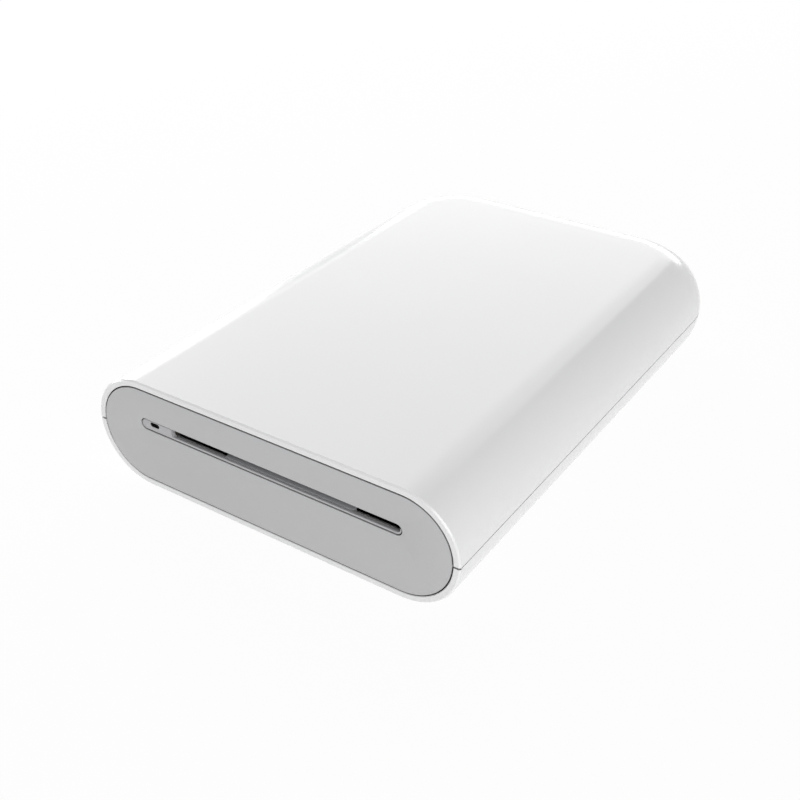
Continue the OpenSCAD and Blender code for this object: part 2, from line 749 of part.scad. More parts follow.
module paper_tray() color("#55565a") {
    rear = tray_rear_y + tray_wall;
    left = tray_x0 - tray_wall;
    right = tray_x1 + tray_wall;
    top = tray_top_z + tray_wall_h;
    ramp_z = guide_top_z - 0.1;
    difference() {
        union() {
            block([left, tray_front_y, tray_z], [right, rear, top]);
            translate([0, 0, deck_z]) linear_extrude(deck_t) deck_outline();
            // Ramp from the tray's floor up to the platen, between two cheeks
            along_x(left, right) polygon([[tray_front_y + tiny, tray_z], [tray_front_y + tiny, tray_top_z],
                [ramp_front_y, ramp_z], [ramp_front_y, ramp_z - tray_floor_t]]);
        }
        block([tray_x0, tray_front_y - 1, tray_top_z], [tray_x1, tray_rear_y, top + 1]);
        for (x = pick_tyre_x)
            block([paper_x + x - pick_tyre_w / 2 - 0.5, pick_c[0] - pick_r - 0.4, tray_z - 1],
                  [paper_x + x + pick_tyre_w / 2 + 0.5, pick_c[0] + pick_r + 0.4, tray_top_z + 1]);
        // Underside hollow that clears the pick roller's shaft and bushes
        rod_x(pick_c, shaft_r + 2, left - 1, right + 1);
        for (p = deck_screw_xy) translate([p[0], p[1], deck_z - 1]) cylinder(r = screw_r + 0.1, h = 4);
        block([sensor_x - 2, sensor_y - 1.5, tray_z], [sensor_x + 2, sensor_y + 1.5, paper_z]);
    }
}

sensor_x = paper_x + 16;
sensor_y = (ramp_front_y + tray_front_y) / 2;
pick_tyre_x = [-7.5, 7.5];
pick_tyre_w = 6;

motor_r = 5;
motor_l = 15.5;
module feed_motor() color("#a9adb2") {
    x1 = left_in_x + motor_l;
    difference() {
        union() {
            intersection() {
                rod_x(motor_c, motor_r, left_in_x + 0.6, x1);
                block([left_in_x, motor_c[0] - motor_r, motor_low_z], [x1 + 1, motor_c[0] + motor_r, motor_high_z]);
            }
            along_x(left_in_x, left_in_x + 0.6 + tiny) difference() {
                union() {
                    translate(motor_c) square([2 * motor_ear, 4.4], center = true);
                    for (s = [-1, 1]) translate(motor_c + [s * motor_ear, 0]) circle(2.2);
                }
                for (s = [-1, 1]) translate(motor_c + [s * motor_ear, 0]) circle(screw_r);
            }
            rod_x(motor_c, motor_boss_r, left_out_x, left_in_x + tiny);
            rod_x(motor_c, 1.4, x1 - tiny, x1 + 0.8);
        }
        rod_x(motor_c, 0.75 + run_gap, left_out_x - 1, left_in_x + 3);
    }
}

module motor_screws() color(steel)
    for (s = [-1, 1]) translate([left_out_x, motor_c[0] + s * motor_ear, motor_c[1]]) rotate([0, -90, 0]) {
        translate([0, 0, -frame_t - 1.4]) cylinder(r = screw_r - 0.03, h = frame_t + 1.4);
        cylinder(r = screw_head_r - 0.2, h = 0.4);
    }

module battery_pack() color("#8d9299") {
    a = battery_at;
    z0 = floor_z + 0.05;
    r = 1.6;
    // Flat pouch with soft long edges and a folded terminal strip
    along = battery[0];
    translate([a[0], a[1], z0]) {
        translate([0, r, 0]) cube([along, battery[1] - 2 * r, battery[2]]);
        translate([0, 0, r]) cube([along, battery[1], battery[2] - 2 * r]);
        for (y = [r, battery[1] - r], z = [r, battery[2] - r])
            translate([0, y, z]) rotate([0, 90, 0]) cylinder(r = r, h = along);
    }
}

module battery_lead() color("#b03a32") {
    // Two wires in one sleeve from the pack to its plug on the board
    x = battery_at[0];
    y = battery_at[1] + battery[1] - 4;
    z = board_top_z + 0.9;
    rod_x([y, z], 0.8, x - 3.4, x);
    block([x - 6.4, y - 2, board_top_z], [x - 3.4, y + 2, board_top_z + 2.2]);
}

module main_board() color("#2f6b45")
    difference() {
        translate([0, 0, board_z]) linear_extrude(board_t)
            polygon([[board_left_x, board_front_y], [board_neck_x, board_front_y], [board_neck_x, board_mid_y],
                     [board_right_x, board_mid_y], [board_right_x - 1, board_rear_y - 1.3],
                     [board_right_x - 4, board_rear_y], [-corner_x - 0.4, board_rear_y],
                     [-corner_x - 6.4, corner_y + 9.4], [-rear_screw_x + 3, corner_y + 3.4],
                     [-rear_screw_x + 3, corner_y - 3.6], [board_left_x, wing_rear_y]]);
        for (p = board_post_xy) translate([p[0], p[1], board_z - 1]) cylinder(r = screw_r + 0.1, h = 3);
    }

module board_chips() color("#26272a") {
    z = board_top_z;
    // Two chips share the wing behind its screw, and the rest stand on the rear strip
    wing_x = board_left_x + 3.5;
    wing_y = board_front_y + 6;
    wing_chip_l = (wing_rear_y - wing_y - 2.5) / 2;
    block([wing_x, wing_y, z], [wing_x + 8, wing_y + wing_chip_l, z + 1]);
    block([wing_x, wing_rear_y - wing_chip_l, z], [wing_x + 6, wing_rear_y - 1, z + 0.9]);
    strip_y = board_mid_y;
    block([-button_x + 6, strip_y + 4, z], [-button_x + 15, strip_y + 13, z + 1]);
    block([usb_x - 6, strip_y + 3, z], [usb_x - 2, strip_y + 7, z + 0.8]);
    for (x = [2, -0.5]) translate([-button_x + x, strip_y + 7, z]) cylinder(r = 1, h = 2.4);
    block([usb_x + 1, strip_y + 2.5, z], [usb_x + 6, strip_y + 5.5, z + 1.8]);
}

module usb_socket() color(steel) {
    x0 = usb_x - usb_size[0] / 2;
    y0 = usb_front_y - usb_size[1];
    t = 0.35;
    tongue_t = 0.6;
    difference() {
        block([x0, y0, board_top_z], [x0 + usb_size[0], usb_front_y, board_top_z + usb_size[2]]);
        block([x0 + t, y0 + 1, board_top_z + t], [x0 + usb_size[0] - t, usb_front_y + 1, board_top_z + usb_size[2] - t]);
    }
    block([usb_x - 2.6, y0 + 1 - tiny, usb_z - tongue_t / 2], [usb_x + 2.6, usb_front_y - 1, usb_z + tongue_t / 2]);
}

switch_y = rear_y - 5.8;
plunger_gap = 0.05;
plunger_pressed = 0.2;
plunger_y = switch_y + plunger_pressed + button_travel;
module power_switch() color("#3a3b3e") {
    difference() {
        block([-button_x - 2.4, switch_y - 2.6, board_top_z], [-button_x + 2.4, switch_y, board_top_z + switch_h]);
        rod_y(-button_x, button_z, 0.7 + plunger_gap, switch_y - 1.2, switch_y + 1);
    }
}

module switch_plunger() color("#c9c9c9") rod_y(-button_x, button_z, 0.7, switch_y - 0.6, plunger_y);

module power_button() color(white) {
    flange_y = switch_y + button_travel + 0.5;
    cap_y = flange_y + 0.5;
    stadium_at(-button_x, button_z, button_w, button_h, cap_y, button_face_y);
    rod_y(-button_x, button_z, 0.9, plunger_y, cap_y + tiny);
    stadium_at(-button_x, button_z, button_w + 1.6, button_h + 1, flange_y, cap_y + tiny);
}

module deck_screws() color(steel) {
    for (p = deck_screw_xy) screw([p[0], p[1], deck_z + deck_t], deck_screw_l);
    for (p = board_post_xy) screw([p[0], p[1], board_top_z], board_screw_l);
}

module frame_screws() color(steel) for (p = web_screw_xy) screw([p[0], p[1], web_z + frame_t], frame_screw_l);

module hinge_pin() color(steel) rod_x([hinge_y, seam_z], hinge_pin_r, -ridge_end_x + 0.3, ridge_end_x - 0.3);

module case_magnets() color("#8f9296")
    for (s = [-1, 1]) translate([s * magnet_x, magnet_y, seam_z - magnet_gap / 2 - magnet_t])
        cylinder(r = magnet_r, h = magnet_t);

module cover_magnets() color("#8f9296")
    for (s = [-1, 1]) translate([s * magnet_x, magnet_y, seam_z + magnet_gap / 2])
        cylinder(r = magnet_r, h = magnet_t);

module paper_sensor() color("#26272a") {
    z = tray_z - 0.3;
    block([sensor_x - 1.8, sensor_y - 1.3, z - 1.5], [sensor_x + 1.8, sensor_y + 1.3, z + 1.2]);
    block([sensor_x - 3.8, sensor_y - 1.3, z - 1.5], [sensor_x + 3.8, sensor_y + 1.3, z - 0.6]);
}

module head_cable() color("#c47a2c") {
    // Flat cable from the board forward along the right side to its plug on the frame's side plate
    x0 = right_out_x + 1.2;
    t = 0.3;
    z0 = board_top_z + 0.3;
    z1 = tray_z - 0.3;
    plug_x = board_right_x - 5;
    turn_y = battery_at[1] + battery[1] + 1.5;
    front_y = pick_c[0] - 6;
    block([x0, front_y, z0], [x0 + t, turn_y + t, z1]);
    block([plug_x + 4, turn_y, z0], [x0 + t, turn_y + t, z1]);
    block([plug_x, turn_y, board_top_z], [plug_x + 5, turn_y + 2.8, z1]);
    block([right_out_x, front_y - 4, z0], [x0 + t, front_y + tiny, z1]);
}

// Cover
roof_ribs = 3;
roof_rib_x = edge_x - 1;
roof_rib_pitch = (rear_y - edge_r - plate_pin_c[0]) / (roof_ribs + 1);
module top_cover() color(white) {
    rim_z = seam_z + seam_gap / 2;
    difference() {
        union() {
            difference() {
                shell_half(rim_z, foot_h + body_h + 1);
                block([-hinge_zone_x, rear_y - 5, seam_z - 1], [hinge_zone_x, rear_y + 1, seam_z + relief_z]);
            }
            for (s = [-1, 1]) {
                x0 = s > 0 ? knuckle_in_x : -knuckle_out_x;
                rod_x([hinge_y, seam_z], knuckle_r, x0, x0 + knuckle_w);
                intersection() {
                    block([x0, hinge_y - knuckle_r, seam_z], [x0 + knuckle_w, rear_y, seam_z + relief_z + 1.5]);
                    body_form(0.02, front_y);
                }
            }
            intersection() {
                body_form(shell_t / 2, front_y + 1);
                union() {
                    for (s = [-1, 1]) translate([s * magnet_x, magnet_y, seam_z + magnet_gap / 2])
                        cylinder(r = magnet_r + 1, h = body_h);
                    for (x = [paper_x - ear_span, paper_x + ear_span - ear_t])
                        block([x, plate_pin_c[0] - 2.5, plate_pin_c[1] - 2],
                              [x + ear_t, plate_pin_c[0] + 2.5, seam_z + body_h]);
                    // Stiffening ribs across the roof behind the plate
                    for (i = [1:roof_ribs])
                        block([-roof_rib_x, plate_pin_c[0] + i * roof_rib_pitch, ceiling_z - 1],
                              [roof_rib_x, plate_pin_c[0] + i * roof_rib_pitch + 1, ceiling_z + shell_t / 2]);
                    for (s = [-1, 1]) translate([paper_x + s * plate_spring_x, plate_spring_c[0], ceiling_z - 1])
                        cylinder(r = spring_r - 0.7, h = 2);
                }
            }
        }
        rod_x([hinge_y, seam_z], hinge_pin_r + run_gap, -ridge_end_x, ridge_end_x);
        rod_x(plate_pin_c, plate_pin_r, paper_x - ear_span - 1, paper_x + ear_span + 1);
        for (s = [-1, 1]) translate([s * magnet_x, magnet_y, seam_z]) cylinder(r = magnet_r + 0.05, h = magnet_gap / 2 + magnet_t + 0.1);
    }
}

module plate_pin() color(steel)
    rod_x(plate_pin_c, plate_pin_r - 0.02, paper_x - ear_span, paper_x + ear_span);

// Position of the plate's springs, as [y, z] on the plate's top face
plate_spring_c = plate_pin_c + plate_spring_back * [-cos(plate_tilt), -sin(plate_tilt)];
spring_seat_z = plate_spring_c[1] + 1.6;
module in_plate() {
    // Plate coordinates: origin at the hinge pin, -Y along the plate to its front edge
    translate([paper_x, plate_pin_c[0], plate_pin_c[1]]) rotate([plate_tilt, 0, 0]) children();
}

module pressure_plate() color(dark)
    in_plate() difference() {
        union() {
            block([-plate_w / 2, -plate_len, -plate_t / 2], [plate_w / 2, 0, plate_t / 2]);
            translate([-plate_w / 2, 0, 0]) rotate([0, 90, 0]) cylinder(r = 1.7, h = plate_w);
            for (x = [-plate_w / 2, plate_w / 2 - 1])
                block([x, -plate_len, -plate_t / 2], [x + 1, 0, plate_t / 2 + 0.8]);
        }
        translate([-plate_w, 0, 0]) rotate([0, 90, 0]) cylinder(r = plate_pin_r + run_gap, h = 2 * plate_w);
    }

module friction_pad() color("#7b4b33")
    in_plate() block([-12, -plate_len + 1, -plate_t / 2 - 0.4], [12, -plate_len + 6, -plate_t / 2]);

module plate_springs() color(steel)
    for (s = [-1, 1]) translate([paper_x + s * plate_spring_x, plate_spring_c[0], spring_seat_z])
        difference() {
            cylinder(r = spring_r, h = ceiling_z - 0.6 - spring_seat_z);
            translate([0, 0, -1]) cylinder(r = spring_r - 0.4, h = 20);
        }

// Rollers, shafts and gears
module platen_shaft() color(steel) rod_x(platen_c, shaft_r, plane_a_x, right_out_x + shaft_over);
module platen_rubber() color(rubber) difference() {
    rod_x(platen_c, platen_r, left_in_x + 1.2, right_in_x - 1.2);
    rod_x(platen_c, shaft_r, left_in_x, right_in_x);
}
module platen_gear() color(gear_white) gear(platen_c, platen_n, platen_phi, plane_a_x, shaft_r);

module pick_shaft() color(steel) rod_x(pick_c, shaft_r, plane_a_x, right_out_x + shaft_over);
module pick_tyres() color(rubber) for (x = pick_tyre_x) difference() {
    rod_x(pick_c, pick_r, paper_x + x - pick_tyre_w / 2, paper_x + x + pick_tyre_w / 2);
    rod_x(pick_c, shaft_r, -half_w, half_w);
}
module pick_gear() color(gear_white) gear(pick_c, pick_n, pick_phi, plane_a_x, shaft_r);

module exit_shaft() color(steel) rod_x(exit_c, shaft_r, plane_a_x, right_out_x + shaft_over);
module exit_tyres() color(rubber) for (x = exit_tyre_x) difference() {
    rod_x(exit_c, exit_r, paper_x + x - exit_tyre_w / 2, paper_x + x + exit_tyre_w / 2);
    rod_x(exit_c, shaft_r, -half_w, half_w);
}
module exit_gear() color(gear_white) gear(exit_c, exit_n, exit_phi, plane_a_x, shaft_r);

module front_idler() color(gear_white)
    gear(front_idler_c, front_idler_n, front_idler_phi, plane_a_x, gear_bore_r + run_gap);
module rear_idler() color(gear_white)
    gear(rear_idler_c, rear_idler_n, rear_idler_phi, plane_a_x, gear_bore_r + run_gap);

module reduction_gear() color(gear_white) {
    gear(reduction_c, reduction_small_n, reduction_small_phi, plane_a_x, gear_bore_r + run_gap);
    gear(reduction_c, reduction_n, reduction_small_phi, plane_b_x, gear_bore_r + run_gap);
    difference() {
        rod_x(reduction_c, pitch_r(reduction_small_n) - 0.7, plane_b_x + gear_w - tiny, plane_a_x + tiny);
        rod_x(reduction_c, gear_bore_r + run_gap, plane_b_x - 1, plane_a_x + 1);
    }
}

module motor_shaft() color(steel) rod_x(motor_c, 0.75, plane_b_x, left_in_x + 2.4);
module motor_pinion() color("#d9b36a") gear(motor_c, pinion_n, pinion_phi, plane_b_x, 0.75);

module pinch_shaft() color(steel) rod_x(pinch_c, thin_shaft_r, left_in_x + 0.2, right_in_x - 0.2);
module pinch_sleeves() color("#8e9094") for (x = exit_tyre_x) difference() {
    rod_x(pinch_c, pinch_r, paper_x + x - exit_tyre_w / 2, paper_x + x + exit_tyre_w / 2);
    rod_x(pinch_c, thin_shaft_r, -half_w, half_w);
}

// Print head, which pivots behind the platen
module print_head() color("#e8e4dc")
    block([paper_x - head_l / 2, platen_c[0] - head_fore, head_z],
          [paper_x + head_l / 2, platen_c[0] + head_aft, head_z + head_ceramic_t]);

module heat_sink() color("#aeb2b7") {
    y0 = platen_c[0] - platen_r - 2.6;
    y1 = head_c[0] + 1;
    difference() {
        union() {
            block([sink_x0, y0, sink_z], [sink_x1, y1, sink_z + sink_t]);
            rod_x(head_c, thin_shaft_r, left_out_x + 0.1, sink_x0 + 1);
            rod_x(head_c, thin_shaft_r, sink_x1 - 1, right_out_x - 0.1);
        }
        for (x = [sink_x0 + 4:4:sink_x1 - 3]) block([x, y0 - 1, sink_z + 1], [x + 1.4, y0 + 2.2, sink_z + sink_t + 1]);
    }
}

module head_springs() color(steel)
    for (s = [-1, 1]) translate([paper_x + s * head_spring_x, head_spring_y, sink_z + sink_t]) difference() {
        cylinder(r = 1.8, h = bridge_z - head_lift_gap - sink_z - sink_t);
        translate([0, 0, -1]) cylinder(r = 1.35, h = 20);
    }

bottom_case();
rubber_feet();
front_panel();
slot_liner();
status_lens();
indicator_board();
roller_frame();
spring_bridge();
tie_rod();
shaft_bushes();
exit_guide();
upper_guide();
paper_tray();
gear_studs();
feed_motor();
motor_screws();
battery_pack();
battery_lead();
main_board();
board_chips();
usb_socket();
power_switch();
deck_screws();
frame_screws();
hinge_pin();
case_magnets();
paper_sensor();
head_cable();
top_cover();
cover_magnets();
plate_pin();
pressure_plate();
friction_pad();
plate_springs();
platen_shaft();
platen_rubber();
platen_gear();
pick_shaft();
pick_tyres();
pick_gear();
exit_shaft();
exit_tyres();
exit_gear();
front_idler();
rear_idler();
reduction_gear();
motor_shaft();
motor_pinion();
pinch_shaft();
pinch_sleeves();
print_head();
heat_sink();
head_springs();
power_button();
switch_plunger();
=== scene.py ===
"""Looks for the compact photo printer: its shells, slot panel, liner, controls, springs and stage.

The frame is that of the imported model: +X right, +Y to the rear, +Z up. Sizes and places are in mm
here, apart from those of the stage, which are in metres.
"""

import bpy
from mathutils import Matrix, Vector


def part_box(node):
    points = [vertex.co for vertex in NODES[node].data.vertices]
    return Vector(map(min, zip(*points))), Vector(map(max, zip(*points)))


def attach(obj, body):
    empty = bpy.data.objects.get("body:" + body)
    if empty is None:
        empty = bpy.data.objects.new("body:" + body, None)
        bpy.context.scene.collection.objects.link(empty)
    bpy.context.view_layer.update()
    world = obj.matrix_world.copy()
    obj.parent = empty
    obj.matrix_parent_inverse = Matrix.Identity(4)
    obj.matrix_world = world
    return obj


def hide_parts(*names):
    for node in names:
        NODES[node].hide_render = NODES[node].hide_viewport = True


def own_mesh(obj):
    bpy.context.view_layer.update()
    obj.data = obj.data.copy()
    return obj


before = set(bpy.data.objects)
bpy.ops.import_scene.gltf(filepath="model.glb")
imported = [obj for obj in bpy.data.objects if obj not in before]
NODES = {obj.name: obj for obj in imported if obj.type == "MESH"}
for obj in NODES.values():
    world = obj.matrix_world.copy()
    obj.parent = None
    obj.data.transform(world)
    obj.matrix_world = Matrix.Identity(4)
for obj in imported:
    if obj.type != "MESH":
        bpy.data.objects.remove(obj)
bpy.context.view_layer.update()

import math
from contextlib import contextmanager

import bmesh
import bpy
from bpy.props import FloatProperty, FloatVectorProperty, IntProperty, PointerProperty
from mathutils import Matrix, Vector

bl_info = {
    "name": "Compact photo printer",
    "version": (1, 0, 0),
    "blender": (4, 5, 0),
    "location": "View3D > Sidebar > Photo printer",
    "description": "Models the printer's visible pieces, finishes its inner parts and sets the stage",
    "category": "Object",
}

MM = 0.001


# --- settings that a user would change ---------------------------------------


def linear(code):
    """An sRGB hex colour as linear red, green, blue and alpha."""
    parts = [int(code[i : i + 2], 16) / 255 for i in (0, 2, 4)]
    return [p / 12.92 if p <= 0.04045 else ((p + 0.055) / 1.055) ** 2.4 for p in parts] + [1.0]


def length(name, description, value, low, high):
    """A size in mm as a property with a unit of length."""
    return FloatProperty(
        name=name, description=description, default=value * MM, min=low * MM, max=high * MM,
        unit="LENGTH", precision=5,
    )


def colour(name, description, code):
    """An sRGB hex colour as a property."""
    return FloatVectorProperty(
        name=name, description=description, default=linear(code), size=4, min=0, max=1, subtype="COLOR"
    )


class ShellSizes(bpy.types.PropertyGroup):
    """Sizes of the two white shells."""

    corner: length("Corner radius", "Radius of the rear corners seen from above", 20.4, 14, 26)
    wall: length("Wall", "Thickness of the shells", 1.4, 1, 2)
    seam: length("Seam", "Gap between cover and case", 0.2, 0.05, 0.4)
    rim_chamfer: length("Rim chamfer", "Chamfer of the front rim's outer edge", 0.3, 0.05, 0.5)
    rim_inner: length("Inner rim chamfer", "Chamfer of the rim's edge towards the panel", 0.12, 0.03, 0.4)
    notch: length("Notch", "Height of the notch where the seam meets the rim", 0.42, 0.2, 1)
    seam_round: length("Seam rounding", "Rounding of the edges along the seam", 0.06, 0.03, 0.3)
    segments: IntProperty(name="Segments", description="Steps in a quarter round", default=24, min=6, max=48)


class PanelSizes(bpy.types.PropertyGroup):
    """Sizes of the slot panel, its liner and the status window."""

    slot_length: length("Slot length", "Length of the slot in the panel", 60.8, 50, 66)
    slot_height: length("Slot height", "Height of the slot in the panel", 2.48, 1.5, 4)
    edge: length("Panel edge", "Rounding of the panel's front edge", 0.06, 0.03, 0.4)
    slot_edge: length("Slot edge", "Rounding of the slot's edge", 0.07, 0.03, 0.4)
    liner_recess: length("Liner recess", "Depth of the liner behind the panel's face", 0.12, 0, 0.5)
    lip: length("Lip", "Height of the lip under the paper opening", 0.44, 0.2, 1)
    mouth_corner: length("Mouth corner", "Radius of the paper opening's lower left corner", 0.45, 0.1, 1)
    window_width: length("Window width", "Width of the status window", 2.3, 1, 3)


class Finishes(bpy.types.PropertyGroup):
    """Colours that a user would change."""

    shell: colour("Shell", "Gloss ABS of the cover and the case", "EFEFF0")
    panel: colour("Panel", "Matt ABS of the slot panel", "C3C3C4")
    liner: colour("Liner", "Satin ABS of the slot liner", "B5B5B7")
    # The guides' colour is darker than the tongue's copy of their nylon: painted shade that keeps the slot's
    # inside black
    guide: colour("Guides", "Glass-filled nylon of the guides and the tray", "3D3E41")
    floor: colour("Floor", "Studio paper under the printer", "F4F4F4")


# --- sizes and places that pieces share --------------------------------------


def cad_box(name):
    """Low and high corner of a CAD node, to a hundredth."""
    return [[round(value / MM, 2) for value in corner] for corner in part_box(name)]


def cad_centre(name):
    """Middle of a CAD node's box, to a hundredth."""
    return [round((low + high) / 2, 2) for low, high in zip(*cad_box(name))]


# The body's outline, and the seam halfway up its half-round sides
(_, FRONT, LOW), (HALF_W, REAR, _) = cad_box("bottom_case")
HIGH = cad_box("top_cover")[1][2]
EDGE_R = (HIGH - LOW) / 2
SEAM = (LOW + HIGH) / 2

# The hinge: Y and Z of its axis, its barrels, and where each barrel starts and ends along X
HINGE = cad_centre("hinge_pin")[1:]
BARREL_R, BARREL_BORE, BARREL_ROOM, BARREL_WEB = 1.4, 0.64, 1.65, 3.15
KNUCKLES = [(-20.0, -12.2), (12.2, 20.0)]
RIDGES = [(-12, 12), (-22.8, -20.2), (20.2, 22.8)]

# The closure magnets, each in a blind bore
MAGNET_R = 2
MAGNET_X, MAGNET_Y = cad_box("case_magnets")[1][0] - MAGNET_R, cad_centre("case_magnets")[1]
MAGNETS = [(-MAGNET_X, MAGNET_Y), (MAGNET_X, MAGNET_Y)]
MAGNET_POST_R, MAGNET_BORE, MAGNET_DEPTH, MAGNET_SET_BACK = 3, 2.05, 1.6, 0.15

# The slot panel, the wall that it clips to, and what sits in its slot; WINDOW is a middle in X and Z
PANEL_W, PANEL_H = 80.7, 20.7
PANEL_BACK = FRONT + 1.6
BULKHEAD_BACK = cad_box("front_panel")[1][1]
SLOT_Z = cad_centre("slot_liner")[2]
LINER_W, LINER_H = 60.36, 2.04
WINDOW = (-26.86, 15.75)
WINDOW_H = 1.02

# Middle of the paper, and the springs' places to both sides of it
PAPER_X = cad_centre("plate_pin")[0]
HEAD_SPRING_X, PLATE_SPRING_X = 15, 11

# The rear wall's openings
BUTTON_X, _, BUTTON_Z = cad_centre("power_button")
BUTTON_W, BUTTON_H = 6, 2.4
OPENING_GAP = 0.25
REAR_CUT = 8

# The feet in their wells
FEET = [(x, y) for x in (-25, 25) for y in (-48, 45)]
FOOT_R, FOOT_H, FOOT_GAP = 3.5, 1.1, 0.1

# Screw bosses on the case's floor
DECK_SCREWS = [(-35, 8.5), (36, 0), (-34, 41.6), (34, 41.6)]
FRAME_SCREWS = [(-17.8, -53.5), (25.2, -53.5)]
BOARD_SCREWS = [(-34, 17), (-21, 51), (18, 52)]
SCREW_BORE = 0.97

# How deep inner fittings reach into a shell's wall, and how far a cutter reaches past what it cuts
FITTING_SINK = 0.7
PAST = 1

# What a full round leaves of an edge, so that its two arcs don't collapse into one another
ROUND_SLACK = 0.0005


# --- modelling helpers -------------------------------------------------------

TURNS = {"X": (0, math.pi / 2, 0), "Y": (math.pi / 2, 0, 0), "Z": (0, 0, 0)}


def single(obj):
    """Leaves object mode on, with only this object selected."""
    if bpy.context.object and bpy.context.object.mode != "OBJECT":
        bpy.ops.object.mode_set(mode="OBJECT")
    bpy.ops.object.select_all(action="DESELECT")
    if obj:
        obj.select_set(True)
        bpy.context.view_layer.objects.active = obj


def placed(obj, name):
    """Names a new primitive and applies its place, turn and size to its mesh."""
    obj.name = obj.data.name = name
    bpy.ops.object.transform_apply(location=True, rotation=True, scale=True)
    return obj


def block(name, low, high):
    """A box between two corners."""
    low, high = Vector(low) * MM, Vector(high) * MM
    single(None)
    bpy.ops.mesh.primitive_cube_add(size=1, location=(low + high) / 2, scale=high - low)
    return placed(bpy.context.object, name)


def rod(name, start, radius, span, axis, sides=64):
    """A round bar from start towards plus X, Y or Z."""
    middle = Vector(start)
    middle["XYZ".index(axis)] += span / 2
    single(None)
    bpy.ops.mesh.primitive_cylinder_add(
        vertices=sides, radius=radius * MM, depth=span * MM, location=middle * MM, rotation=TURNS[axis]
    )
    return placed(bpy.context.object, name)


@contextmanager
def shaping(obj):
    """Edit mode on one object, with nothing in it selected."""
    single(obj)
    bpy.ops.object.mode_set(mode="EDIT")
    bpy.ops.mesh.select_all(action="DESELECT")
    yield
    bpy.ops.object.mode_set(mode="OBJECT")


def choose(kind, test):
    """Selects the edges or faces of the edited mesh that pass the test."""
    mesh = bpy.context.edit_object.data
    bpy.ops.mesh.select_all(action="DESELECT")
    bpy.ops.mesh.select_mode(type=kind)
    shape = bmesh.from_edit_mesh(mesh)
    shape.normal_update()
    for item in shape.faces if kind == "FACE" else shape.edges:
        if test(item):
            item.select_set(True)
    shape.select_flush_mode()
    bmesh.update_edit_mesh(mesh)


def mid(edge):
    """Middle of an edge."""
    return (edge.verts[0].co + edge.verts[1].co) / 2 / MM


def runs_along(edge, axis):
    """Whether an edge is parallel to X, Y or Z."""
    step = (edge.verts[1].co - edge.verts[0].co).normalized()
    return abs(step["XYZ".index(axis)]) > 0.99


def sharp(edge, degrees=50):
    """Whether two faces meet at an edge with at least this turn."""
    return len(edge.link_faces) == 2 and edge.calc_face_angle() > math.radians(degrees)


def sharp_at_face(edge, face):
    """Whether an edge is sharp and lies in the front face at Y = face."""
    return sharp(edge) and all(v.co.y < (face + 0.01) * MM for v in edge.verts)


def push(x=0, y=0, z=0):
    """Extrudes the selected faces and moves them."""
    bpy.ops.mesh.extrude_region_move(TRANSFORM_OT_translate={"value": (x * MM, y * MM, z * MM)})


def round_edges(obj, test, width, segments=3):
    """Rounds the edges that pass the test by width; a single segment makes a chamfer."""
    with shaping(obj):
        choose("EDGE", test)
        bpy.ops.mesh.bevel(
            offset=width * MM, segments=segments, profile=0.5, affect="EDGES", clamp_overlap=False
        )


def weld(obj, distance):
    """Merges the vertices that full rounds leave almost on one another."""
    with shaping(obj):
        bpy.ops.mesh.select_all(action="SELECT")
        bpy.ops.mesh.remove_doubles(threshold=distance * MM)


def modify(obj, kind, **settings):
    """Adds a modifier and applies it."""
    single(obj)
    modifier = obj.modifiers.new(kind.title(), kind)
    for key, value in settings.items():
        setattr(modifier, key, value)
    bpy.ops.object.modifier_apply(modifier=modifier.name)


def carve(obj, operation, *tools):
    """Cuts, crops or welds an object with tools, which are then removed."""
    for tool in tools:
        modify(obj, "BOOLEAN", operation=operation, object=tool, solver="EXACT")
        bpy.data.objects.remove(tool)
    return obj


def joined(name, *parts):
    """Several objects as one."""
    single(parts[0])
    for part in parts:
        part.select_set(True)
    bpy.ops.object.join()
    whole = bpy.context.object
    whole.name = whole.data.name = name
    return whole


def stadium_bar(name, x, z, width, height, y0, y1, segments=16):
    """A bar along Y round (x, z) whose section is a stadium: a block with its long edges fully rounded."""
    bar = block(name, (x - width / 2, y0, z - height / 2), (x + width / 2, y1, z + height / 2))
    round_edges(bar, lambda e: runs_along(e, "Y"), height / 2 - ROUND_SLACK, segments)
    weld(bar, 0.003)
    return bar


def body_blank(name, inset, front, settings):
    """The body's form: a block with rounded rear corners and fully rounded long edges."""
    blank = block(name, (-HALF_W + inset, front, LOW + inset), (HALF_W - inset, REAR - inset, HIGH - inset))
    corner = settings.corner / MM - inset
    round_edges(blank, lambda e: runs_along(e, "Z") and mid(e).y > 0, corner, settings.segments)
    edge = EDGE_R - inset - ROUND_SLACK
    round_edges(blank, lambda e: not runs_along(e, "Z") and mid(e).y > front + 0.1, edge, settings.segments)
    weld(blank, 0.004)
    return blank


def near_outline(point, depth):
    """Whether a point of the front face lies within depth of the body's outline."""
    reach = math.hypot(max(abs(point.x) - HALF_W + EDGE_R, 0), point.z - SEAM)
    return reach > EDGE_R - depth or abs(point.z - SEAM) > EDGE_R - depth


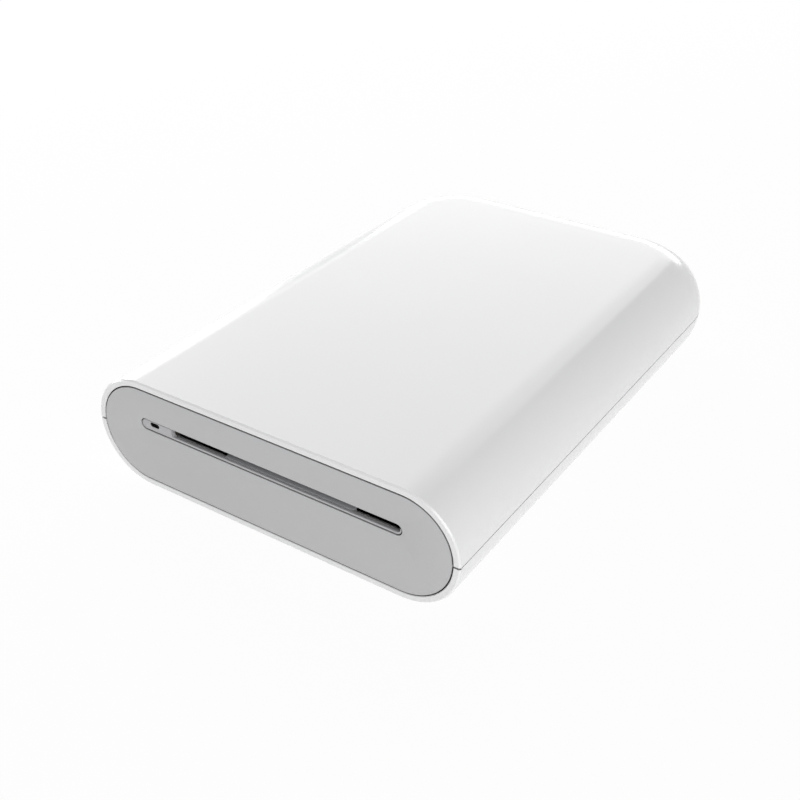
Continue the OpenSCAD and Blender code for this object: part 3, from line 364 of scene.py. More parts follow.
def half_shell(name, upper, settings):
    """One half of the hollow shell, open at the front, with its rim and seam edges rounded."""
    shell = body_blank(name, 0, FRONT, settings)
    with shaping(shell):
        choose("FACE", lambda f: f.normal.y < -0.99 and f.calc_center_median().y < (FRONT + 0.1) * MM)
        bpy.ops.mesh.delete(type="FACE")
    modify(shell, "SOLIDIFY", thickness=settings.wall, offset=-1, use_even_offset=True)
    cut = SEAM + (0.5 if upper else -0.5) * settings.seam / MM
    with shaping(shell):
        bpy.ops.mesh.select_all(action="SELECT")
        bpy.ops.mesh.bisect(
            plane_co=(0, 0, cut * MM), plane_no=(0, 0, 1), use_fill=True,
            clear_inner=upper, clear_outer=not upper,
        )

    def on_rim(edge, outer):
        return sharp_at_face(edge, FRONT) and near_outline(mid(edge), settings.wall / MM / 2) == outer

    def on_seam(edge):
        return sharp(edge) and all(abs(v.co.z - cut * MM) < 0.01 * MM for v in edge.verts)

    round_edges(shell, lambda e: on_rim(e, outer=True), settings.rim_chamfer / MM, 1)
    round_edges(shell, lambda e: on_rim(e, outer=False), settings.rim_inner / MM, 1)
    round_edges(shell, on_seam, settings.seam_round / MM, 2)
    # The seam opens into a small notch at both ends of the rim
    side, half, depth = HALF_W + PAST, settings.notch / MM / 2, 0.6
    notch = block("notch", (-side, FRONT - PAST, SEAM - half), (side, FRONT + depth, SEAM + half))
    return carve(shell, "DIFFERENCE", notch)


def tube_post(name, x, y, z0, z1, radius, bore, depth, opens_up=True):
    """A round post with a blind bore: its end face is inset and pushed in."""
    post = rod(name, (x, y, z0), radius, z1 - z0, "Z", 40)
    up = 1 if opens_up else -1
    with shaping(post):
        choose("FACE", lambda f: f.normal.z * up > 0.9)
        bpy.ops.mesh.inset(thickness=(radius - bore) * MM)
        push(z=-depth * up)
    return post


def magnet_posts(z0, z1, opens_up):
    """The two posts that hold the closure magnets of a shell."""
    return [
        tube_post("post", x, y, z0, z1, MAGNET_POST_R, MAGNET_BORE, MAGNET_DEPTH, opens_up)
        for x, y in MAGNETS
    ]


def hinge_barrel(x0, x1, root):
    """One barrel of the hinge, welded to the root that holds it and bored for the pin."""
    barrel = rod("barrel", (x0, *HINGE), BARREL_R, x1 - x0, "X", 64)
    carve(barrel, "UNION", root)
    bore = rod("bore", (x0 - PAST, *HINGE), BARREL_BORE, x1 - x0 + 2 * PAST, "X", 32)
    return carve(barrel, "DIFFERENCE", bore)


def socket_room(name):
    """The charging socket's room in the rear wall."""
    (x0, _, z0), (x1, _, z1) = cad_box("usb_socket")
    gap = OPENING_GAP
    return block(name, (x0 - gap, REAR - REAR_CUT, z0 - gap), (x1 + gap, REAR + PAST, z1 + gap))


def coil(name, x, y, z0, z1, radius, wire, turns):
    """A compression spring: a ring of wire wound by the screw modifier."""
    single(None)
    bpy.ops.mesh.primitive_circle_add(
        vertices=8, radius=wire * MM, fill_type="NGON",
        location=(radius * MM, 0, (z0 + wire) * MM), rotation=(math.pi / 2, 0, 0),
    )
    spring = placed(bpy.context.object, name)
    steps = 28 * turns
    modify(
        spring, "SCREW", angle=2 * math.pi * turns, screw_offset=(z1 - z0 - 2 * wire) * MM, axis="Z",
        steps=steps, render_steps=steps, use_merge_vertices=True, merge_threshold=1e-7,
    )
    with shaping(spring):
        bpy.ops.mesh.select_all(action="SELECT")
        bpy.ops.transform.translate(value=(x * MM, y * MM, 0))
    return spring


def finished(obj, body, material, slot, *nodes):
    """Shades a piece, gives it its finish and lets it ride on its body in place of its CAD nodes."""
    with shaping(obj):
        bpy.ops.mesh.select_all(action="SELECT")
        bpy.ops.mesh.normals_make_consistent(inside=False)
    bpy.ops.object.shade_smooth_by_angle(angle=math.radians(32))
    obj.data.materials.clear()
    obj.data.materials.append(material)
    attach(obj, body)
    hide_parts(*nodes)
    return obj


# --- finishes ----------------------------------------------------------------


def node(tree, kind, inputs=(), **settings):
    """Adds a node with its settings and links: an input is a value or another node's output."""
    made = tree.nodes.new(kind)
    for key, value in settings.items():
        setattr(made, key, value)
    for key, value in dict(inputs).items():
        if isinstance(value, bpy.types.NodeSocket):
            tree.links.new(value, made.inputs[key])
        else:
            made.inputs[key].default_value = value
    return made


def principled(material):
    """The main shader of a new material."""
    material.use_nodes = True
    return next(n for n in material.node_tree.nodes if n.type == "BSDF_PRINCIPLED")


def grain_field(tree, place, grain_mm, stretch, rings):
    """A fine grain, or the rings that a lathe or a grinding wheel leaves round the axis of a piece."""
    if rings:
        # A wave texture packs twenty radians into a unit of its scale: this makes a ring two grains wide
        return node(
            tree, "ShaderNodeTexWave", {"Vector": place, "Scale": 1 / (grain_mm * MM) / 6.3},
            wave_type="BANDS", bands_direction=rings,
        ).outputs["Fac"]
    stretched = node(tree, "ShaderNodeMapping", {"Vector": place, "Scale": stretch}).outputs["Vector"]
    return node(
        tree, "ShaderNodeTexNoise", {"Vector": stretched, "Scale": 1 / (grain_mm * MM), "Detail": 3.0}
    ).outputs["Fac"]


def finish(name, base, roughness, tone, tone_mm, grain_mm, relief_mm, tone_share=0.5, rough_swing=0.0,
           metallic=0.0, coat=0.0, ior=1.5, subsurface=0.0, stretch=(1, 1, 1), rings="", crevice_shade_mm=0.0):
    """A finish: a base colour that drifts to a second tone, a gloss that drifts too, and a grain in relief.

    The drifts are as wide as tone_mm. Crevices narrower than the crevice width get painted shade: an
    ambient-occlusion node darkens the base colour there.
    """
    known = bpy.data.materials.get(name)
    if known:
        return known
    material = bpy.data.materials.new(name)
    shader = principled(material)
    tree = material.node_tree
    for key, value in (
        ("Metallic", metallic), ("IOR", ior), ("Coat Weight", coat), ("Coat Roughness", 0.05),
        ("Subsurface Weight", subsurface), ("Subsurface Scale", 0.6 * MM), ("Roughness", roughness),
    ):
        shader.inputs[key].default_value = value
    place = node(tree, "ShaderNodeTexCoord").outputs["Object"]
    drift = node(
        tree, "ShaderNodeTexNoise", {"Vector": place, "Scale": 1 / (tone_mm * MM), "Detail": 2.0}
    ).outputs["Fac"]

    share = node(
        tree, "ShaderNodeMapRange",
        {"Value": drift, "From Min": 0.35, "From Max": 0.7, "To Min": 0.0, "To Max": tone_share},
    ).outputs["Result"]
    tone_and_painted_shade = node(tree, "ShaderNodeMix", {0: share, 6: base, 7: linear(tone)}, data_type="RGBA").outputs[2]
    # Painted shade: ambient occlusion darkens the base colour in crevices narrower than the crevice width
    if crevice_shade_mm:
        tone_and_painted_shade = node(
            tree, "ShaderNodeAmbientOcclusion", {"Color": tone_and_painted_shade, "Distance": crevice_shade_mm * MM}, samples=6
        ).outputs["Color"]
    tree.links.new(tone_and_painted_shade, shader.inputs["Base Color"])

    if rough_swing:
        gloss = node(
            tree, "ShaderNodeMapRange",
            {"Value": drift, "From Min": 0.3, "From Max": 0.7,
             "To Min": roughness - rough_swing, "To Max": roughness + rough_swing},
        ).outputs["Result"]
        tree.links.new(gloss, shader.inputs["Roughness"])

    grain = grain_field(tree, place, grain_mm, stretch, rings)
    bump = node(tree, "ShaderNodeBump", {"Height": grain, "Distance": relief_mm * MM, "Strength": 1.0})
    tree.links.new(bump.outputs["Normal"], shader.inputs["Normal"])
    return material


def shell_finish(finishes):
    # Gloss ABS from a polished mould: clean reflections with a faint long orange peel, and painted shade in
    # the seam, the notches and other narrow gaps
    return finish("gloss white ABS", list(finishes.shell), 0.2, tone="F6F6F4", tone_mm=45, tone_share=0.25,
                  grain_mm=2.4, relief_mm=0.0015, rough_swing=0.02, ior=1.53, crevice_shade_mm=0.6)


def panel_finish(finishes):
    # ABS from a spark-eroded mould: an even fine matt grain that scatters all reflections.
    # The real grain is under 0.05 mm; it is drawn at 0.16 mm to show at all
    # Narrow gaps, such as the one round the panel and the slot's walls, get painted shade
    return finish("matt grey ABS", list(finishes.panel), 0.62, tone="C8C8C9", tone_mm=18, tone_share=0.3,
                  grain_mm=0.16, relief_mm=0.006, rough_swing=0.03, crevice_shade_mm=0.5)


def liner_finish(finishes):
    # Satin ABS, a touch glossier than the panel, with soft highlights in its groove
    return finish("satin light ABS", list(finishes.liner), 0.38, tone="BDBDBF", tone_mm=9, tone_share=0.3,
                  grain_mm=0.25, relief_mm=0.003, rough_swing=0.03)


def guide_finish(finishes):
    # Glass-filled nylon: dark, dull, with the cloudy flow marks of its fibres. It is darker than the
    # tongue's grey copy of the same nylon, and this extra darkness is painted shade that keeps the slot's
    # inside black
    return finish("dark glass-filled nylon with painted shade", list(finishes.guide), 0.55, tone="4C4D51", tone_mm=6,
                  grain_mm=0.3, relief_mm=0.006, rough_swing=0.06)


def tongue_finish():
    # Mid-grey nylon of the guide tongue, the lighter copy of the guides' nylon beside their darker copy with
    # painted shade; dull so that it shows no lamp inside the slot
    return finish("grey glass-filled nylon", linear("A2A3A6"), 0.6, tone="AEAFB1", tone_mm=5,
                  grain_mm=0.3, relief_mm=0.006, rough_swing=0.05)


def window_finish():
    # Smoked PMMA: near black, with a polished face
    return finish("smoked PMMA", linear("0E0E10"), 0.08, tone="17171A", tone_mm=1.5,
                  grain_mm=0.8, relief_mm=0.0008, coat=1.0, ior=1.49)


def foot_finish():
    # Silicone: pale, dull and a little waxy
    return finish("translucent silicone", linear("D4D4D2"), 0.6, tone="C6C6C4", tone_mm=3,
                  grain_mm=0.35, relief_mm=0.01, rough_swing=0.05, ior=1.41)


def nickel_finish():
    # Nickel-plated drawn steel: bright, with faint drawing marks
    return finish("nickel-plated steel", linear("C9C6BE"), 0.24, metallic=1.0, tone="B3B0A9", tone_mm=3,
                  tone_share=0.4, grain_mm=0.12, relief_mm=0.002, stretch=(1, 0.1, 1), rough_swing=0.06)


def spring_finish():
    # Music wire: drawn and oiled, darker than plated steel
    return finish("spring wire", linear("8E8F92"), 0.3, metallic=1.0, tone="77787C", tone_mm=1.2,
                  grain_mm=0.1, relief_mm=0.001, rough_swing=0.06)


def inner_finishes(finishes):
    """Finishes of the inner parts that keep their CAD shape, each with the names of its parts."""
    guide = guide_finish(finishes)
    nickel = nickel_finish()
    # Zinc-plated sheet: cool grey with a faint rolled grain along its length
    sheet = finish("zinc-plated sheet steel", linear("B4B7BB"), 0.34, metallic=1.0, tone="9DA1A7",
                   tone_mm=5, grain_mm=0.15, relief_mm=0.003, stretch=(1, 0.06, 1), rough_swing=0.08)
    # Centreless-ground shafts: bright, with fine rings across them
    shaft = finish("ground steel", linear("BFC1C4"), 0.2, metallic=1.0, tone="A9ABAF", tone_mm=3,
                   tone_share=0.4, grain_mm=0.12, relief_mm=0.0015, rings="X", rough_swing=0.05)
    # Blackened screws: dark, oiled, worn a little lighter in patches
    screw = finish("black-oxide steel", linear("3A3B3D"), 0.42, metallic=1.0, tone="5A5B5E", tone_mm=1.2,
                   grain_mm=0.12, relief_mm=0.003, rough_swing=0.08)
    # Sintered bronze: warm, open-pored and oily
    bronze = finish("sintered bronze", linear("A97F4E"), 0.46, metallic=1.0, tone="8A6238", tone_mm=1,
                    tone_share=0.6, grain_mm=0.14, relief_mm=0.008, rough_swing=0.08)
    # Acetal gears: ivory, soft-looking at thin edges
    acetal = finish("ivory acetal", linear("E4DFD0"), 0.36, tone="DAD3C0", tone_mm=4,
                    grain_mm=0.3, relief_mm=0.003, rough_swing=0.04, ior=1.48, subsurface=0.08)
    # Machined brass pinion: yellow, ringed by the lathe
    brass = finish("machined brass", linear("C9A25A"), 0.26, metallic=1.0, tone="B38B46", tone_mm=1.5,
                   grain_mm=0.1, relief_mm=0.0015, rings="X", rough_swing=0.05)
    # Ground rubber: black, dull, with the fine nap left by the wheel
    rubber = finish("ground EPDM rubber", linear("242425"), 0.82, tone="2F2F30", tone_mm=4,
                    grain_mm=0.18, relief_mm=0.02, rough_swing=0.05, ior=1.52)
    # Bead-blasted, clear-anodised aluminium: even silver grey with a fine sparkle
    aluminium = finish("clear-anodised aluminium", linear("B9BCC0"), 0.42, metallic=1.0, tone="A8ABB0",
                       tone_mm=6, tone_share=0.4, grain_mm=0.1, relief_mm=0.004, rough_swing=0.05)
    # Glazed alumina: off-white, glass-smooth
    ceramic = finish("glazed alumina", linear("E6E2D8"), 0.12, tone="DAD5C8", tone_mm=5, tone_share=0.4,
                     grain_mm=0.6, relief_mm=0.001, coat=0.6, ior=1.6)
    # Solder mask over copper: green, with the tone of the traces below showing through
    mask = finish("green solder mask", linear("1F5A3A"), 0.3, tone="2F7A50", tone_mm=1.4, tone_share=0.8,
                  grain_mm=0.7, relief_mm=0.012, stretch=(1, 0.2, 1), rough_swing=0.05, coat=0.3)
    # Moulded epoxy of the chips: charcoal, slightly sandy
    epoxy = finish("moulded epoxy", linear("222326"), 0.52, tone="303135", tone_mm=2,
                   grain_mm=0.12, relief_mm=0.006, rough_swing=0.05)
    # Aluminium laminate of the pouch cell: silver with soft long creases
    foil = finish("aluminium laminate foil", linear("A9AEB5"), 0.36, metallic=1.0, tone="949AA2",
                  tone_mm=8, grain_mm=2.2, relief_mm=0.06, stretch=(0.5, 1, 1), rough_swing=0.08)
    # Polyimide flex: amber, satin, with its copper showing as slow bands
    flex = finish("polyimide flex", linear("B4682A"), 0.32, tone="8F4F1E", tone_mm=0.8, tone_share=0.7,
                  grain_mm=0.5, relief_mm=0.003, stretch=(1, 0.1, 1), coat=0.3, ior=1.7)
    # PVC sleeve of the battery's wires
    sleeve = finish("red PVC sleeve", linear("A32E26"), 0.45, tone="8A231D", tone_mm=1.5,
                    grain_mm=0.3, relief_mm=0.006)
    # Cork-filled rubber of the friction pad: brown with darker crumbs
    cork = finish("cork rubber", linear("75492F"), 0.85, tone="4E2F1D", tone_mm=0.5, tone_share=0.9,
                  grain_mm=0.35, relief_mm=0.03)
    return {
        # The guides' dark finish carries painted shade for the slot's inside
        guide: ["paper_tray", "exit_guide", "upper_guide", "pressure_plate", "power_switch"],
        sheet: ["roller_frame", "spring_bridge", "feed_motor"],
        shaft: ["tie_rod", "gear_studs", "hinge_pin", "plate_pin", "platen_shaft", "pick_shaft",
                "exit_shaft", "pinch_shaft", "motor_shaft"],
        screw: ["deck_screws", "frame_screws", "motor_screws"],
        bronze: ["shaft_bushes"],
        acetal: ["platen_gear", "pick_gear", "exit_gear", "front_idler", "rear_idler", "reduction_gear",
                 "pinch_sleeves", "switch_plunger"],
        brass: ["motor_pinion"],
        rubber: ["platen_rubber", "pick_tyres", "exit_tyres"],
        nickel: ["case_magnets", "cover_magnets"],
        aluminium: ["heat_sink"],
        ceramic: ["print_head"],
        mask: ["main_board", "indicator_board"],
        epoxy: ["board_chips", "paper_sensor"],
        foil: ["battery_pack"],
        flex: ["head_cable"],
        sleeve: ["battery_lead"],
        cork: ["friction_pad"],
    }


# --- operators ---------------------------------------------------------------


class PRINTER_OT_cover(bpy.types.Operator):
    """Models the top cover with its knuckles, ears, ribs and magnet posts"""

    bl_idname = "printer.cover"
    bl_label = "Top cover"

    # The hinge relief's half width, the roof's ribs and the ears that hold the plate's pin
    relief_x = 29.3
    rib_count, rib_x, rib_t, rib_drop = 3, 29, 1, 2.4
    ear_t, ear_bore = 2, 0.8

    def plate_ears(self):
        """The two ears of the pressure plate's pin."""
        (first_x, *_), (last_x, *_) = cad_box("plate_pin")
        _, y, z = cad_centre("plate_pin")
        ears = []
        for x in (first_x, last_x - self.ear_t):
            ear = block("ear", (x, y - 2.5, z - 2), (x + self.ear_t, y + 2.5, HIGH))
            round_edges(ear, lambda e: runs_along(e, "X") and mid(e).z < z - 1.7, 1.9, 8)
            bore = rod("bore", (x - PAST, y, z), self.ear_bore, self.ear_t + 2 * PAST, "X", 32)
            ears.append(carve(ear, "DIFFERENCE", bore))
        return ears

    def roof_ribs(self):
        """Ribs across the roof, spread evenly behind the plate's pin."""
        start = cad_centre("plate_pin")[1]
        pitch = (REAR - EDGE_R - start) / (self.rib_count + 1)
        low, high = HIGH - self.rib_drop, HIGH - FITTING_SINK
        ribs = []
        for i in range(1, self.rib_count + 1):
            y = start + pitch * i
            rib = block("rib", (-self.rib_x, y, low), (self.rib_x, y + self.rib_t, high))
            round_edges(rib, lambda e: runs_along(e, "X") and mid(e).z < low + 0.9, 0.3, 3)
            ribs.append(rib)
        return ribs

    def spring_pegs(self):
        """Pegs on the roof that hold the plate's springs in place."""
        y, z = cad_centre("plate_springs")[1], HIGH - self.rib_drop
        pegs = []
        for side in (-1, 1):
            peg = rod("peg", (PAPER_X + side * PLATE_SPRING_X, y, z), 1.3, 1.6, "Z", 40)
            round_edges(peg, lambda e: sharp(e) and mid(e).z < z + 0.4, 0.3, 3)
            pegs.append(peg)
        return pegs

    def knuckles(self, shells):
        """The cover's two barrels of the hinge, each on a web that follows the body's form."""
        made = []
        for x0, x1 in KNUCKLES:
            web = block("web", (x0, HINGE[0] - BARREL_R, SEAM), (x1, REAR, SEAM + BARREL_WEB))
            carve(web, "INTERSECT", body_blank("crop", 0.02, FRONT + 1, shells))
            made.append(hinge_barrel(x0, x1, web))
        return made

    def execute(self, context):
        shells = context.scene.printer_shells
        cover = half_shell("cover_shell", True, shells)
        relief = block(
            "relief",
            (-self.relief_x, REAR - 5, SEAM - PAST),
            (self.relief_x, REAR + PAST, SEAM + BARREL_ROOM),
        )
        carve(cover, "DIFFERENCE", relief)
        posts = magnet_posts(SEAM + MAGNET_SET_BACK, HIGH, opens_up=False)
        fittings = joined("fittings", *posts, *self.plate_ears(), *self.roof_ribs(), *self.spring_pegs())
        carve(fittings, "INTERSECT", body_blank("crop", FITTING_SINK, FRONT + 1, shells))
        cover = joined("cover_shell", cover, fittings, *self.knuckles(shells))
        finished(cover, "cover", shell_finish(context.scene.printer_finishes), "shell_white", "top_cover")
        return {"FINISHED"}


class PRINTER_OT_case(bpy.types.Operator):
    """Models the bottom case with its lip, bulkhead, hinge ridges, bosses and openings"""

    bl_idname = "printer.case"
    bl_label = "Bottom case"

    # Inset from the body's outline, thickness, underside and top: a thick ledge carries the thin lip
    ledge = (1.2, 1.4, 9, 12)
    lip = (1.7, 0.9, 11.99, 13.7)
    lip_gap_x = 23.2
    # Underside of the posts, inside the floor's wall, and the play round the battery
    post_z = LOW + 0.5
    battery_play, stop_t, stop_top = 0.3, 1, 5

    def openings(self):
        """Cutters for the knuckles, the charging socket, the power button and the feet."""
        side = 0.2
        recesses = [
            block("recess", (x0 - side, REAR - 5, SEAM - BARREL_ROOM), (x1 + side, REAR + PAST, SEAM + PAST))
            for x0, x1 in KNUCKLES
        ]
        port = socket_room("port")
        round_edges(port, lambda e: runs_along(e, "Y"), 0.6, 5)
        width, height = BUTTON_W + 2 * OPENING_GAP, BUTTON_H + 2 * OPENING_GAP
        slot = stadium_bar("slot", BUTTON_X, BUTTON_Z, width, height, REAR - REAR_CUT, REAR + PAST)
        wells = [rod("well", (x, y, -PAST), FOOT_R + FOOT_GAP, FOOT_H + PAST, "Z", 64) for x, y in FEET]
        return [*recesses, port, slot, *wells]

    def rim_wall(self, shells, inset, depth, z0, z1):
        """A U-shaped wall that follows the body's outline, open at the front and at the hinge."""
        wall = block("lip", (-HALF_W + inset, BULKHEAD_BACK, z0), (HALF_W - inset, REAR - inset, z1))
        corner = shells.corner / MM - inset
        round_edges(wall, lambda e: runs_along(e, "Z") and mid(e).y > 0, corner, shells.segments)
        with shaping(wall):
            choose("FACE", lambda f: abs(f.normal.z) > 0.9 or f.normal.y < -0.9)
            bpy.ops.mesh.delete(type="FACE")
        modify(wall, "SOLIDIFY", thickness=depth * MM, offset=-1, use_even_offset=True)
        lip_top = self.lip[3]
        round_edges(wall, lambda e: sharp(e, 80) and mid(e).z > lip_top - 0.1, 0.25, 3)
        gap = block("gap", (-self.lip_gap_x, REAR - 6, 8), (self.lip_gap_x, REAR + PAST, 20))
        return carve(wall, "DIFFERENCE", gap)

    def bulkhead(self):
        """The wall that the slot panel clips to."""
        half, low = HALF_W - FITTING_SINK, LOW + FITTING_SINK
        wall = block("bulkhead", (-half, PANEL_BACK, low), (half, BULKHEAD_BACK, SEAM - 0.08))
        round_edges(wall, lambda e: runs_along(e, "Y") and mid(e).z < 2, EDGE_R - 0.9, 24)
        return wall

    def ridges(self, shells):
        """The case's three barrels of the hinge; the middle one is notched for the charging socket."""
        made = []
        for x0, x1 in RIDGES:
            ridge = block("ridge", (x0, HINGE[0] - BARREL_R, SEAM - BARREL_WEB), (x1, HINGE[0] + 1.2, SEAM))
            carve(ridge, "INTERSECT", body_blank("crop", 0.02, FRONT + 1, shells))
            barrel = hinge_barrel(x0, x1, ridge)
            if x0 < 0 < x1:
                carve(barrel, "DIFFERENCE", socket_room("notch"))
            made.append(barrel)
        return made

    def bosses(self, places, top, radius, depth):
        """Screw bosses on the floor."""
        return [tube_post("boss", x, y, self.post_z, top, radius, SCREW_BORE, depth) for x, y in places]

    def battery_stops(self):
        """Ribs that hold the battery on its four sides."""
        (x0, y0, _), (x1, y1, _) = cad_box("battery_pack")
        stops = []
        for x in (x0 - self.battery_play - self.stop_t, x1 + self.battery_play):
            stops.append(block("stop", (x, 12.5, self.post_z), (x + self.stop_t, 31.5, self.stop_top)))
        for y in (y0 - self.battery_play - self.stop_t, y1 + self.battery_play):
            stops.append(block("stop", (-10, y, self.post_z), (22, y + self.stop_t, self.stop_top)))
        return stops

    def execute(self, context):
        shells = context.scene.printer_shells
        case = half_shell("case_shell", False, shells)
        carve(case, "DIFFERENCE", *self.openings())
        walls = [self.rim_wall(shells, *wall) for wall in (self.ledge, self.lip)]
        walls += [self.bulkhead(), *self.ridges(shells)]
        posts = magnet_posts(self.post_z, SEAM - MAGNET_SET_BACK, opens_up=True)
        posts += self.bosses(DECK_SCREWS, top=12.6, radius=2.2, depth=5)
        posts += self.bosses(FRAME_SCREWS, top=5, radius=2.2, depth=3)
        posts += self.bosses(BOARD_SCREWS, top=5.7, radius=2, depth=3)
        fittings = joined("fittings", *posts, *self.battery_stops())
        carve(fittings, "INTERSECT", body_blank("crop", FITTING_SINK, FRONT + 1, shells))
        case = joined("case_shell", case, fittings, *walls)
        finished(case, "base", shell_finish(context.scene.printer_finishes), "shell_white", "bottom_case")
        return {"FINISHED"}


class PRINTER_OT_slot_panel(bpy.types.Operator):
    """Models the matt panel round the paper slot"""

    bl_idname = "printer.slot_panel"
    bl_label = "Slot panel"

    def execute(self, context):
        sizes = context.scene.printer_panel
        panel = stadium_bar("slot_panel", 0, SEAM, PANEL_W, PANEL_H, FRONT, PANEL_BACK, 32)
        slot_w, slot_h = sizes.slot_length / MM, sizes.slot_height / MM
        slot = stadium_bar("slot", 0, SLOT_Z, slot_w, slot_h, FRONT - PAST, PANEL_BACK + PAST, 12)
        carve(panel, "DIFFERENCE", slot)

        def at_slot(edge):
            return abs(mid(edge).x) <= slot_w / 2 + 0.6 and abs(mid(edge).z - SLOT_Z) <= 2

        round_edges(panel, lambda e: sharp_at_face(e, FRONT) and not at_slot(e), sizes.edge / MM, 3)
        round_edges(panel, lambda e: sharp_at_face(e, FRONT) and at_slot(e), sizes.slot_edge / MM, 3)
        # A rib on the panel's back rests on the bulkhead
        rib = block("rib", (-29, PANEL_BACK - 0.3, SEAM), (29, BULKHEAD_BACK, SEAM + 0.9))
        round_edges(rib, lambda e: runs_along(e, "X") and mid(e).y > PANEL_BACK, 0.2, 3)
        panel = joined("slot_panel", panel, rib)
        finished(panel, "base", panel_finish(context.scene.printer_finishes), "panel_grey", "front_panel")
        return {"FINISHED"}


class PRINTER_OT_slot_liner(bpy.types.Operator):
    """Models the liner of the slot, with its lip, slanted mouth and flange"""

    bl_idname = "printer.slot_liner"
    bl_label = "Slot liner"

    # Ends of the paper opening along X, and the tongue of the exit guide that shows in its middle
    mouth_x = (-22.6, 30.02)
    tongue_x = (-10, 19.3)
    tongue_front, tongue_z = -60.97, 13.6

    def openings(self, sizes, face, back, lip_top):
        """Cutters for the paper opening, its floor and the status window."""
        over = SLOT_Z + 1.2
        left, right = self.mouth_x
        mouth = block("mouth", (left, face - PAST, lip_top), (right, back + PAST, over))
        # The lower corners are round, the right one along the liner's own end
        for side, radius in ((-1, sizes.mouth_corner / MM), (1, 0.85)):
            round_edges(
                mouth, lambda e: runs_along(e, "Y") and mid(e).z < SLOT_Z and mid(e).x * side > 0, radius, 6
            )
        floor = block(
            "floor",
            (left + 0.5, face + 0.3, lip_top - 0.32),
            (right - 0.42, back + PAST, lip_top + 0.3),
        )
        with shaping(floor):
            # The floor behind the lip falls towards the rollers
            choose("EDGE", lambda e: runs_along(e, "X") and mid(e).z < lip_top and mid(e).y > back)
            bpy.ops.transform.translate(value=(0, 0, -0.2 * MM))
        # The floor ends early, over the dark inside, with the tongue standing behind it
        drop = block("drop", (-24, self.tongue_front + 0.05, 13.42), (29.8, back + PAST, over))
        hole_w, hole_h = sizes.window_width / MM + 0.04, WINDOW_H + 0.02
        hole = stadium_bar("hole", *WINDOW, hole_w, hole_h, face - PAST, back + PAST, 8)
        return [mouth, floor, drop, hole]

    def execute(self, context):
        sizes = context.scene.printer_panel
        face = FRONT + sizes.liner_recess / MM
        back = cad_box("slot_liner")[1][1]
        lip_top = SLOT_Z - LINER_H / 2 + sizes.lip / MM
        liner = stadium_bar("liner_bezel", 0, SLOT_Z, LINER_W, LINER_H, face, -60.3, 12)
        # The front edge is rounded before the carving, whose cuts then stay crisp
        round_edges(liner, lambda e: sharp_at_face(e, face), 0.07, 2)
        carve(liner, "UNION", stadium_bar("flange", 0, SLOT_Z, 63.56, 3.84, -60.38, back, 12))
        carve(liner, "DIFFERENCE", *self.openings(sizes, face, back, lip_top))
        x0, x1 = self.tongue_x
        tongue = block("tongue", (x0, self.tongue_front, self.tongue_z), (x1, back - 0.04, lip_top - 0.15))
        round_edges(tongue, lambda e: sharp(e) and mid(e).z > self.tongue_z + 1, 0.12, 3)
        liner = joined("liner_bezel", liner, tongue)
        finished(liner, "base", liner_finish(context.scene.printer_finishes), "liner_grey", "slot_liner")
        liner.data.materials.append(tongue_finish())

        def on_tongue(side):
            x, y, z = (value / MM for value in side.calc_center_median())
            front = min(v.co.y for v in side.verts) / MM
            return (
                x0 - 0.01 < x < x1 + 0.01 and self.tongue_front - 0.01 < front and y < back - 0.03
                and self.tongue_z < z < lip_top - 0.1
            )

        with shaping(liner):
            choose("FACE", on_tongue)
            liner.active_material_index = 1
            bpy.ops.object.material_slot_assign()
        return {"FINISHED"}


class PRINTER_OT_status_window(bpy.types.Operator):
    """Models the small dark window over the status lamp"""

    bl_idname = "printer.status_window"
    bl_label = "Status window"

    def execute(self, context):
        width = context.scene.printer_panel.window_width / MM
        (_, front, _), (_, back, _) = cad_box("status_lens")
        pill = stadium_bar("status_window", *WINDOW, width, WINDOW_H, front, back, 8)
        with shaping(pill):
            # A light well: a thin rim round a deep face
            choose("FACE", lambda f: f.normal.y < -0.9)
            bpy.ops.mesh.inset(thickness=0.07 * MM)
            push(y=0.9)
        finished(pill, "base", window_finish(), "lens_smoke", "status_lens")
        return {"FINISHED"}


class PRINTER_OT_feet(bpy.types.Operator):
    """Models the four feet as domed pads"""

    bl_idname = "printer.feet"
    bl_label = "Feet"

    def execute(self, context):
        pads = []
        for x, y in FEET:
            pad = rod("pad", (x, y, 0), FOOT_R, FOOT_H, "Z", 64)
            round_edges(pad, lambda e: sharp(e) and mid(e).z < FOOT_H / 2, 0.22, 4)
            pads.append(pad)
        feet = joined("feet", *pads)
        finished(feet, "base", foot_finish(), "foot_rubber", "rubber_feet")
        return {"FINISHED"}


class PRINTER_OT_power_button(bpy.types.Operator):
    """Models the power button with its flange and stem"""

    bl_idname = "printer.power_button"
    bl_label = "Power button"

    # Where the cap meets its flange, and what the flange adds to the cap's size
    root = 57.6
    flange_t, flange_add = 0.5, (1.6, 1)

    def execute(self, context):
        (_, stem_end, _), (_, face, _) = cad_box("power_button")
        cap = stadium_bar("button_cap", BUTTON_X, BUTTON_Z, BUTTON_W, BUTTON_H, self.root, face, 16)
        with shaping(cap):
            # The face is dished for the finger
            choose("FACE", lambda f: f.normal.y > 0.9)
            bpy.ops.mesh.inset(thickness=0.5 * MM)
            bpy.ops.transform.translate(value=(0, -0.12 * MM, 0))
        round_edges(cap, lambda e: sharp(e) and mid(e).y > face - 0.5, 0.25, 4)
        width, height = (size + add for size, add in zip((BUTTON_W, BUTTON_H), self.flange_add))
        flange = stadium_bar(
            "flange", BUTTON_X, BUTTON_Z, width, height, self.root - self.flange_t, self.root + 0.01, 16
        )
        stem = rod("stem", (BUTTON_X, stem_end, BUTTON_Z), 0.9, 1, "Y", 40)
        cap = joined("button_cap", cap, flange, stem)
        finished(cap, "button", shell_finish(context.scene.printer_finishes), "shell_white", "power_button")
        return {"FINISHED"}


